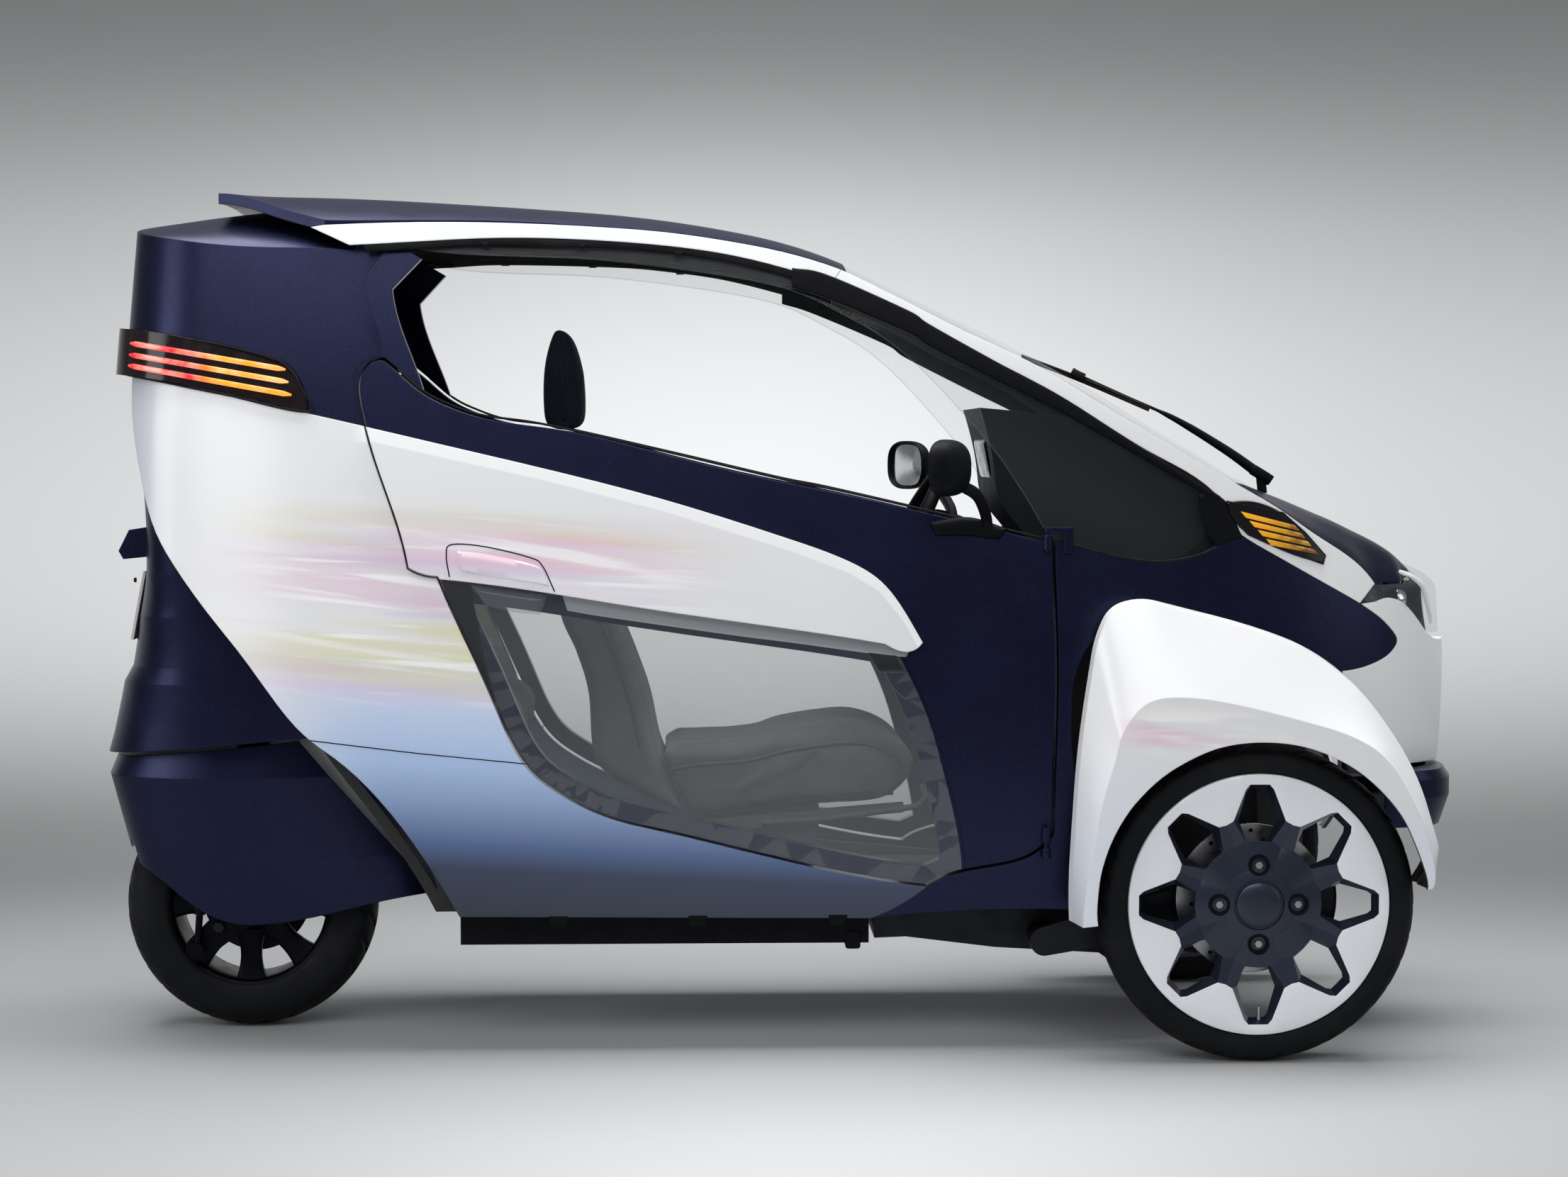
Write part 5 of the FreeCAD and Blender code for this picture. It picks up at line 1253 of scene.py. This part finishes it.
class CAR_OT_seats(Operator):
    """Seat cushions and headrest, swelled as cloth, with seams, channels, piping and the seat's lever"""

    bl_idname = "car.seats"
    bl_label = "Seats"

    def execute(self, context):
        piping = {"seat": [], "headrest": []}
        for name, cover, face, back, half, power, voxel, seam, channels, depth, node in (
            ("driver_cushion", "seat", SEAT_TOP, SEAT_UNDER, 165, 8, 0.006, SEAT_SEAM, (92,), 0.004, "front_seat_base"),
            ("driver_back", "seat", BACK_FACE, BACK_REAR, 165, 8, 0.006, BACK_SEAM, (92,), 0.004, "front_seat_back"),
            ("driver_headrest", "headrest", REST_FACE, REST_REAR, 62, 4, 0.004, REST_SEAM, (), 0.002, "front_headrest"),
            ("rear_cushion", "seat", BENCH_TOP, BENCH_UNDER, 190, 8, 0.007, BENCH_SEAM, (100,), 0.004, "rear_seat"),
            ("rear_backrest", "seat", REAR_FACE, REAR_BACK, 190, 8, 0.007, REAR_SEAM, (100,), 0.004, None),
        ):
            pad = stuffed(name, pad_grid(face, back, half, power), cover, voxel)
            if node:
                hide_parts(node)
            piping[cover] += sewn(pad, seam, channels, depth)
        solid("seat_piping", piping["seat"], finish("piping"), "body")
        solid("headrest_piping", piping["headrest"], finish("headrest"), "body")
        rod = [(-40, -172, 372), (60, -172, 378), (200, -172, 396), (226, -172, 402), (240, -172, 418)]
        rod += [(233, -166, 436)]
        lever = sweep(smooth(np.array(rod) * MM, 60), ring_profile(0.0052, count=12))
        solid("seat_lever", [lever], finish("piping"), "body")
        return {"FINISHED"}


# The steering wheel's middle, the way its shaft runs forwards, and the way up in its plane
WHEEL_CENTRE = np.array([0.215, 0.0, 0.85])
WHEEL_AHEAD = np.array([0.8829, 0.0, -0.4695])
WHEEL_UP = np.array([0.4695, 0.0, 0.8829])


def on_wheel(across, up, rise):
    """Steering wheel places in metres: across to the left, up in its plane, risen to the driver."""
    across, up, rise = (np.asarray(v, float)[..., None] for v in (across, up, rise))
    return WHEEL_CENTRE + across * np.array([0, 1.0, 0]) + up * WHEEL_UP - rise * WHEEL_AHEAD


class CAR_OT_cabin(Operator):
    """Steering wheel and instrument screen"""

    bl_idname = "car.cabin"
    bl_label = "Cabin"

    def execute(self, context):
        t = np.linspace(0, 2 * np.pi, 120, endpoint=False)
        ring = on_wheel(0.14 * np.sin(t), 0.14 * np.cos(t), 0 * t)
        grip = 1 + 0.1 * np.exp(-(((np.abs(np.sin(t)) - 0.9) / 0.12) ** 2)) * (np.cos(t) > -0.2)
        rim = sweep(ring, ring_profile(0.0125, 0.0115, 18), out=WHEEL_AHEAD, closed=True, scale=grip)
        share = np.array([0.0, 0.4, 0.75, 0.93, 1.0, 1.0, 0.96, 0.0])[:, None]
        rise = np.array([0.028, 0.0272, 0.0245, 0.02, 0.012, 0.0, -0.006, -0.006])[:, None]
        edge = 0.05 * (1 + 0.1 * np.cos(3 * (t - np.pi)))[None]
        pad = (on_wheel(share * edge * np.sin(t), share * edge * 0.86 * np.cos(t), rise + 0 * t), False, True)
        spokes = []
        for turn in (np.pi / 2, -np.pi / 2, np.pi):
            reach = np.linspace(0.03, 0.133, 14)
            path = on_wheel(reach * math.sin(turn), reach * math.cos(turn), 0.012 * (1 - (reach / 0.14) ** 2))
            wide = 1 + 0.45 * (1 - (reach - 0.03) / 0.1) ** 2
            spokes.append(sweep(path, ring_profile(0.0145, 0.0055, 16, 3.4), out=WHEEL_AHEAD, scale=wide))
        wheel = solid("steering_wheel_rim", [rim], finish("black"), "driver_wheel", 60)
        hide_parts("steering_wheel")
        solid("steering_wheel_pad", [pad] + spokes, finish("dash"), "driver_wheel", 45)
        across, high = np.meshgrid(np.linspace(-1, 1, 40), np.linspace(-1, 1, 20))
        bulge = 0.005 * (1 - across**10) ** 0.5 * (1 - high**8) ** 0.5
        z = 0.992 + high * 0.034
        x = 0.3555 - (z - 0.992) * 0.2
        front = np.stack([x - bulge, across * 0.088, z], axis=-1)
        behind = np.stack([x + 0.004, across * 0.088, z], axis=-1)
        solid("instrument_screen", shut(front, behind), finish("gloss"), "body")
        return {"FINISHED"}


class CAR_OT_mirrors(Operator):
    """Door mirrors: rounded shell, framed glass turned to the driver, stalk and foot"""

    bl_idname = "car.mirrors"
    bl_label = "Door mirrors"

    def execute(self, context):
        turn = math.radians(30)
        towards = np.array([-math.cos(turn), math.sin(turn), 0])
        across = np.array([math.sin(turn), math.cos(turn), 0])
        centre = np.array([0.247, -0.412, 0.979])
        t = np.linspace(0, 2 * np.pi, 72, endpoint=False)
        u = 0.06 * np.sign(np.cos(t)) * np.abs(np.cos(t)) ** 0.72
        v = 0.046 * np.sign(np.sin(t)) * np.abs(np.sin(t)) ** 0.72

        def rows(pairs):
            """Rings of (share of the outline, depth towards the driver)."""
            share, depth = np.array(pairs).T
            flat = across * (share[:, None] * u)[..., None] + np.array([0, 0, 1]) * (share[:, None] * v)[..., None]
            return centre + flat + towards * depth[:, None, None]

        s = np.linspace(0, 1, 16)
        shell = [(0.0, -0.006), (0.86, -0.006), (0.9, -0.004), (0.93, 0.0005), (0.97, 0.0)]
        shell += [((1 - q**2.6) ** 0.5, -0.003 - 0.036 * q) for q in s]
        glass = [(0.0, -0.0035), (0.84, -0.0035), (0.87, -0.0045), (0.87, -0.0075), (0.0, -0.0075)]
        stalk = smooth([(0.33, -0.296, 0.868), (0.326, -0.318, 0.9), (0.306, -0.365, 0.934), (0.278, -0.395, 0.95)], 40)
        thick = np.linspace(1.25, 0.85, 40)
        arm = sweep(stalk, ring_profile(0.0115, 0.008, 16, 2.6), out=(1, 0, 0), scale=thick)
        foot = side_slab([(232, 889), (300, 897), (364, 878)], [(244, 866), (300, 866), (350, 860)], 9, 1, 10, 40, 9)
        shell, glass = [(rows(shell), False, True)], [(rows(glass), False, True)]
        for side in ("right", "left"):
            body, turn = f"door_{side}", handed(side)
            housing = solid(f"{body}_mirror_shell", turn(shell), finish("black"), body, 50)
            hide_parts(f"{body}_mirror")
            solid(f"{body}_mirror_pane", turn(glass), finish("mirror"), body)
            solid(f"{body}_mirror_stalk", turn([arm] + foot), finish("black"), body, 50)
        return {"FINISHED"}


class CAR_OT_wiper(Operator):
    """Wiper: arm with its pivot block and post, blade and saddle"""

    bl_idname = "car.wiper"
    bl_label = "Wiper"

    def execute(self, context):
        pivot, elbow = np.array([0.838, -0.03, 0.966]), np.array([0.686, -0.024, 1.064])
        clip, tip, tail = np.array([0.52, -0.01, 1.14]), np.array([0.425, 0.03, 1.176]), np.array([0.64, -0.05, 1.082])
        path = smooth([pivot, pivot * 0.6 + elbow * 0.4 + (0, 0, 0.004), elbow, elbow * 0.5 + clip * 0.5, clip], 60)
        size = np.interp(np.linspace(0, 1, 60), [0, 0.4, 0.52, 0.58, 1], [1.2, 0.85, 0.62, 0.36, 0.32])
        arm = sweep(path, ring_profile(0.0085, 0.0075, 14, 3), out=(0.4, 0, 1), scale=size)
        path = smooth([pivot + (0.02, 0, -0.012), pivot + (0.008, 0, -0.004), pivot + (-0.012, 0, 0.008)], 16)
        block = sweep(path, ring_profile(0.011, 0.0095, 16, 4), out=(0.4, 0, 1))
        path = smooth([pivot + (0.006, 0, -0.034), pivot + (0.004, 0, -0.016), pivot + (0.002, 0, 0.002)], 12)
        post = sweep(path, ring_profile(0.0085, 0.0085, 14))
        blade = smooth([tail, tail * 0.5 + tip * 0.5 + (0, 0, 0.002), tip], 60)
        lip = sweep(blade - (0, 0, 0.0035), ring_profile(0.0018, 0.0042, 10), out=(0.5, 0, 1))
        ends = np.minimum(np.arange(60), 59 - np.arange(60)) / 29.5
        spine = sweep(blade, ring_profile(0.0045, 0.0026, 12, 3), out=(0.5, 0, 1), scale=0.5 + 0.5 * ends)
        path = smooth([clip + (0.011, 0, -0.005), clip, clip + (-0.011, 0.001, 0.006)], 16)
        saddle = sweep(path, ring_profile(0.007, 0.007, 14, 4), out=(0.5, 0, 1))
        cover = solid("wiper_arm_cover", [arm, block, post], finish("black"), "body", 50)
        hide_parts("wiper")
        solid("wiper_blade", [spine, saddle, lip], finish("rubber"), "body", 50)
        return {"FINISHED"}


class CAR_OT_running_gear(Operator):
    """Front brake calipers, rear damper's sleeve and bolts, front cross tube and plate screws"""

    bl_idname = "car.running_gear"
    bl_label = "Running gear"

    def execute(self, context):
        t = np.linspace(-0.3, 0.3, 18)
        arc = FRONT_AXLE + np.stack([0.119 * np.cos(t), 0 * t + 0.024, 0.119 * np.sin(t)], axis=1)
        caliper = sweep(arc, ring_profile(0.0065, 0.024, 20, 4), out=(1, 0, 0))
        bridge = FRONT_AXLE + np.stack([0.135 * np.cos(t), 0 * t + 0.036, 0.135 * np.sin(t)], axis=1)
        over = sweep(bridge[4:-4], ring_profile(0.017, 0.0065, 16, 4), out=(1, 0, 0))
        places = [FRONT_AXLE + (0.119 * math.cos(a), 0.0175, 0.119 * math.sin(a)) for a in (-0.2, 0.2)]
        heads = [hex_head(place, 0.006, 0.004) for place in places]
        solid("front_calipers", both([caliper, over]), finish("dark_cast"), "body", 40)
        solid("front_caliper_bolts", both(heads), finish("dark_cast"), "body", 40)
        low, high = np.array([-1.013, -0.1, 0.147]), np.array([-0.99, -0.1, 0.455])
        share = np.linspace(0.2, 0.82, 150)
        ripple = 0.9 + 0.1 * np.cos(share * 2 * np.pi * 26)
        sleeve = sweep(low + (high - low) * share[:, None], ring_profile(0.0112, count=20), scale=ripple)
        solid("rear_damper_sleeve", [sleeve], finish("black"), "rear_steering", 60)
        bolts = [hex_head(p, 0.011, 0.008) for p in ((-0.977, -0.088, 0.184), (-0.938, -0.088, 0.218))]
        solid("rear_bracket_bolts", bolts, finish("dark_cast"), "rear_steering", 40)
        ends = np.array([(0.112, y, 0.181) for y in (-0.235, -0.2, 0.2, 0.235)])
        tube = sweep(ends, ring_profile(0.013, 0.015, 20, 6), out=(0, 0, 1))
        solid("front_cross_tube", [tube], finish("black"), "body")
        low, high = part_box("number_plate")
        r, along = np.array([(0.0, -0.0015), (0.003, -0.0012), (0.0042, 0.0), (0.0042, 0.003), (0.0, 0.003)]).T
        a = np.linspace(0, 2 * np.pi, 20, endpoint=False)[:, None]
        x, z = np.broadcast_to(low[0] + 0.0005 + along, (20, 5)), high[2] - 0.016 + r * np.sin(a)
        screws = [(np.stack([x, y + r * np.cos(a), z], axis=-1), True, False) for y in (-0.062, 0.062)]
        solid("plate_screws", screws, finish("dark_cast"), "body", 40)
        return {"FINISHED"}


class CAR_OT_seams(Operator):
    """Panel seams, clips, window frames with painted shade under the roof rail, and window seals of the fixed body"""

    bl_idname = "car.seams"
    bl_label = "Seams and seals"

    def execute(self, context):
        width = sizes().seam / MM
        seams = [
            side_line([(-787, 531), (-700, 520), (-600, 508), (-434, 491)], width, 0.5),
            side_line([(-698, 1052), (-712, 1100), (-712, 1140), (-690, 1160)], width, 0.5),
        ]
        solid("quarter_seams", both(seams), finish("rubber"), "body")
        clips = []
        for x in (-382, -150, 84):
            clips += side_slab([(x - 16, 232), (x + 16, 232)], [(x - 13, 214), (x + 13, 214)], 3.0, 4, 6, 12, 2)
        solid("sill_clips", both(clips), finish("black"), "body")
        edge = [(436, 862), (399, 925), (350, 1000), (300, 1060), (250, 1115), (201, 1163), (151, 1201), (101, 1229)]
        edge += [(17, 1270), (-94, 1296), (-315, 1324), (-536, 1333), (-636, 1345)]
        edge = side_line(edge, 2.5, 1.2, 160, lift=-15)
        solid("window_edges", both([edge]), finish("lens"), "body")
        rail = [(725, 922), (706, 940), (603, 1000), (502, 1060), (401, 1120), (299, 1170), (200, 1224), (140, 1252)]
        rail += [(75, 1280), (0, 1303), (-100, 1327), (-200, 1341), (-300, 1349), (-501, 1353), (-601, 1348)]
        rail = side_line(rail + [(-700, 1342)], 14, 4, 220, lift=-5)
        solid("rail_seals", both([rail]), finish("rubber"), "body")
        # Black window frame strip, raised over the rail's lower edge as painted shade under the rail.
        along = [8, 66, 200, 237, 344, 450, 557, 663]
        upper = list(zip(along + [727], [1310, 1299, 1240, 1216, 1156, 1100, 1033, 968, 930]))
        lower = list(zip(along + [724], [1277, 1259, 1203, 1179, 1125, 1073, 1014, 954, 921]))
        frames_and_rail_shade = side_slab(upper, lower, 3.0, 9, 8, 120, 4)
        border = [(700, 936), (730, 927), (744, 906), (760, 872), (766, 862)]
        inside = [(690, 930), (692, 908), (698, 886), (708, 862), (720, 846)]
        frames_and_rail_shade += side_slab(border, inside, 1.5, 8, 8, 60, 4)
        solid("window_frames_and_rail_shade", both(frames_and_rail_shade), finish("black"), "body")
        dots = []
        for x, z in ((-500, 1349), (-340, 1346), (-180, 1334)):
            dots += side_slab([(x - 7, z + 3), (x + 7, z + 3)], [(x - 7, z - 4), (x + 7, z - 4)], 2.5, 4, 6, 8, 2)
        solid("rail_clips", both(dots), finish("black"), "body")
        low = [(757, 867), (725, 849), (684, 831), (621, 822), (560, 828), (499, 843), (446, 858)]
        sill = side_line(low, 5, 1.5, 120, lift=-1)
        solid("window_sill_seals", both([sill]), finish("rubber"), "body")
        return {"FINISHED"}


class CAR_OT_stage(Operator):
    """Floor, curved backdrop, lamps, world and camera"""

    bl_idname = "car.stage"
    bl_label = "Stage"

    def execute(self, context):
        self.backdrop()
        self.lamps(context.scene)
        camera = bpy.data.objects.new("Camera", bpy.data.cameras.new("Camera"))
        context.scene.collection.objects.link(camera)
        camera.location = (-0.1589, -4.912, 1.010)
        camera.rotation_euler = Euler((math.pi / 2 - 0.050, 0, -0.033), "XYZ")
        camera.data.lens = 64.1
        camera.data.sensor_width = 36
        context.scene.camera = camera
        context.scene.view_settings.view_transform = "Standard"
        return {"FINISHED"}

    def backdrop(self):
        """A floor that curves up behind the car, with painted bands of light and shade, and a plain far floor."""
        turn = np.linspace(0, np.pi / 2, 24)
        y = np.concatenate([[-14], np.linspace(-6, 1.9, 12), 2.0 + 1.1 * np.sin(turn), [3.1, 3.1]])
        z = np.concatenate([[0], np.zeros(12), 1.1 - 1.1 * np.cos(turn), [3.0, 8.0]])
        x = np.linspace(-12, 12, 9)[:, None]
        grid = np.stack(np.broadcast_arrays(x, y[None], z[None]), axis=-1)
        self.sheet("backdrop", grid, self.light_painted_paper())
        x, y = np.meshgrid(np.linspace(-40, 40, 3), np.linspace(-40, 40, 3), indexing="ij")
        far = np.stack([x, y, np.full_like(x, -0.004)], axis=-1)
        s = Shade("far_floor")
        s.surface(s.mix(s.noise(0.4, 2), (0.60, 0.61, 0.62), (0.64, 0.65, 0.66)), 0.8)
        self.sheet("far_floor", far, s.material)

    def sheet(self, name, grid, material):
        """One stage surface from a grid of points."""
        mesh = bpy.data.meshes.new(name)
        faces = quads(grid.shape[0], grid.shape[1], False, False)[:, ::-1]
        mesh.from_pydata(grid.reshape(-1, 3).tolist(), [], faces.tolist())
        mesh.shade_smooth()
        mesh.materials.append(material)
        piece = bpy.data.objects.new(name, mesh)
        bpy.context.scene.collection.objects.link(piece)

    def light_painted_paper(self):
        """Paper with painted light and shade along it, a painted pool of light behind the car, glowing by itself on the
        wall.

        The glow is only for what looks at it, so that it lights nothing; the back is clear."""
        s = Shade("studio_sweep")
        x, y, z = s.split()
        along = s.plus(y, z)
        # Painted light and shade: darker on the floor just behind the car, bright where the paper curves up, darker
        # towards the top.
        light_and_shade_tones = [(0.0, 0.4), (0.36, 0.46), (0.44, 0.5), (0.52, 0.44), (0.60, 0.25), (0.68, 0.215), (0.72, 0.36)]
        light_and_shade_tones += [(0.765, 0.62), (0.81, 0.64), (0.845, 0.6), (0.88, 0.44), (0.91, 0.24), (0.935, 0.17), (1.0, 0.15)]
        stops = [(at, (v * 0.985, v, v * 1.015)) for at, v in light_and_shade_tones]
        colour = s.ramp(s.span(along, -6.0, 6.2, 0, 1, "LINEAR"), stops, "B_SPLINE")
        # Painted pool of light on the paper behind the car.
        off = s.math("DIVIDE", x, s.math("MAXIMUM", s.plus(s.times(y, 0.185), 0.91), 0.4))
        painted_light_pool = s.times(s.math("EXPONENT", s.times(off, off, -1.0)), s.span(along, 5.4, 4.7, 0.15, 0.5))
        colour = s.scaled(colour, s.plus(painted_light_pool, 1.0))
        s.surface(s.scaled(colour, FLOOR_SHARE), 0.75)
        path = s.node("ShaderNodeLightPath")
        rays = [path.outputs[f"Is {kind} Ray"] for kind in ("Camera", "Glossy", "Transmission")]
        glow_share = s.times(s.math("MAXIMUM", *rays), s.span(along, 0.9, 2.2))
        emission = s.node("ShaderNodeEmission")
        s.link(colour, emission.inputs["Color"])
        mixed = s.node("ShaderNodeMixShader")
        s.link(glow_share, mixed.inputs["Fac"])
        s.link(s.shader.outputs["BSDF"], mixed.inputs[1])
        s.link(emission.outputs["Emission"], mixed.inputs[2])
        back = s.node("ShaderNodeNewGeometry")
        gone = s.node("ShaderNodeBsdfTransparent")
        sided = s.node("ShaderNodeMixShader")
        s.link(back.outputs["Backfacing"], sided.inputs["Fac"])
        s.link(mixed.outputs["Shader"], sided.inputs[1])
        s.link(gone.outputs["BSDF"], sided.inputs[2])
        s.link(sided.outputs["Shader"], s.tree.nodes["Material Output"].inputs["Surface"])
        return s.material

    def lamps(self, scene):
        """Softboxes by name, place, aim, size in metres and power, and the studio's dim air."""
        v = look()
        for name, place, aim, size, power in (
            ("overhead", (0.0, 0.1, 3.4), (0, 0, 0.6), (4.6, 2.2), v.key),
            ("above_camera", (-0.4, -4.3, 3.7), (0, 0, 0.6), (5.0, 2.2), v.fill),
            ("tail_rim", (-3.8, -2.4, 1.6), (-0.8, 0, 0.8), (1.4, 2.4), v.fill * 0.45),
            ("nose_rim", (4.0, -1.6, 1.8), (0.8, 0, 0.7), (1.4, 2.4), v.fill * 0.13),
            ("far_fill", (0.0, 5.2, 2.6), (0, 0, 0.7), (4.0, 2.0), v.fill * 0.25),
        ):
            lamp = bpy.data.lights.new(name, "AREA")
            lamp.shape = "RECTANGLE"
            lamp.size, lamp.size_y = size
            lamp.energy = power
            piece = bpy.data.objects.new(name, lamp)
            scene.collection.objects.link(piece)
            piece.location = place
            piece.rotation_euler = (Vector(aim) - Vector(place)).to_track_quat("-Z", "Y").to_euler()
        world = bpy.data.worlds.new("studio_air")
        scene.world = world
        world.use_nodes = True
        air = world.node_tree.nodes["Background"].inputs
        air["Color"].default_value = (0.75, 0.77, 0.8, 1)
        air["Strength"].default_value = 0.32


STEPS = (
    CAR_OT_stage,
    CAR_OT_seats,
    CAR_OT_paint,
    CAR_OT_tyres,
    CAR_OT_front_wheels,
    CAR_OT_rear_wheel,
    CAR_OT_lamps,
    CAR_OT_doors,
    CAR_OT_mirrors,
    CAR_OT_cabin,
    CAR_OT_wiper,
    CAR_OT_running_gear,
    CAR_OT_seams,
)


class CAR_PT_pieces(Panel):
    """Sidebar list of the car's pieces and settings"""

    bl_idname = "CAR_PT_pieces"
    bl_label = "Three wheeled car"
    bl_space_type = "VIEW_3D"
    bl_region_type = "UI"
    bl_category = "Car"

    def draw(self, context):
        for group in (context.scene.car_look, context.scene.car_sizes):
            for name in group.__annotations__:
                self.layout.prop(group, name)
        for step in STEPS:
            self.layout.operator(step.bl_idname)


def register():
    for kind in (CarLook, CarSizes, *STEPS, CAR_PT_pieces):
        bpy.utils.register_class(kind)
    bpy.types.Scene.car_look = PointerProperty(type=CarLook)
    bpy.types.Scene.car_sizes = PointerProperty(type=CarSizes)


def unregister():
    del bpy.types.Scene.car_sizes
    del bpy.types.Scene.car_look
    for kind in reversed((CarLook, CarSizes, *STEPS, CAR_PT_pieces)):
        bpy.utils.unregister_class(kind)


def main():
    register()
    for step in STEPS:
        group, name = step.bl_idname.split(".")
        getattr(getattr(bpy.ops, group), name)()


if __name__ == "__main__":
    main()
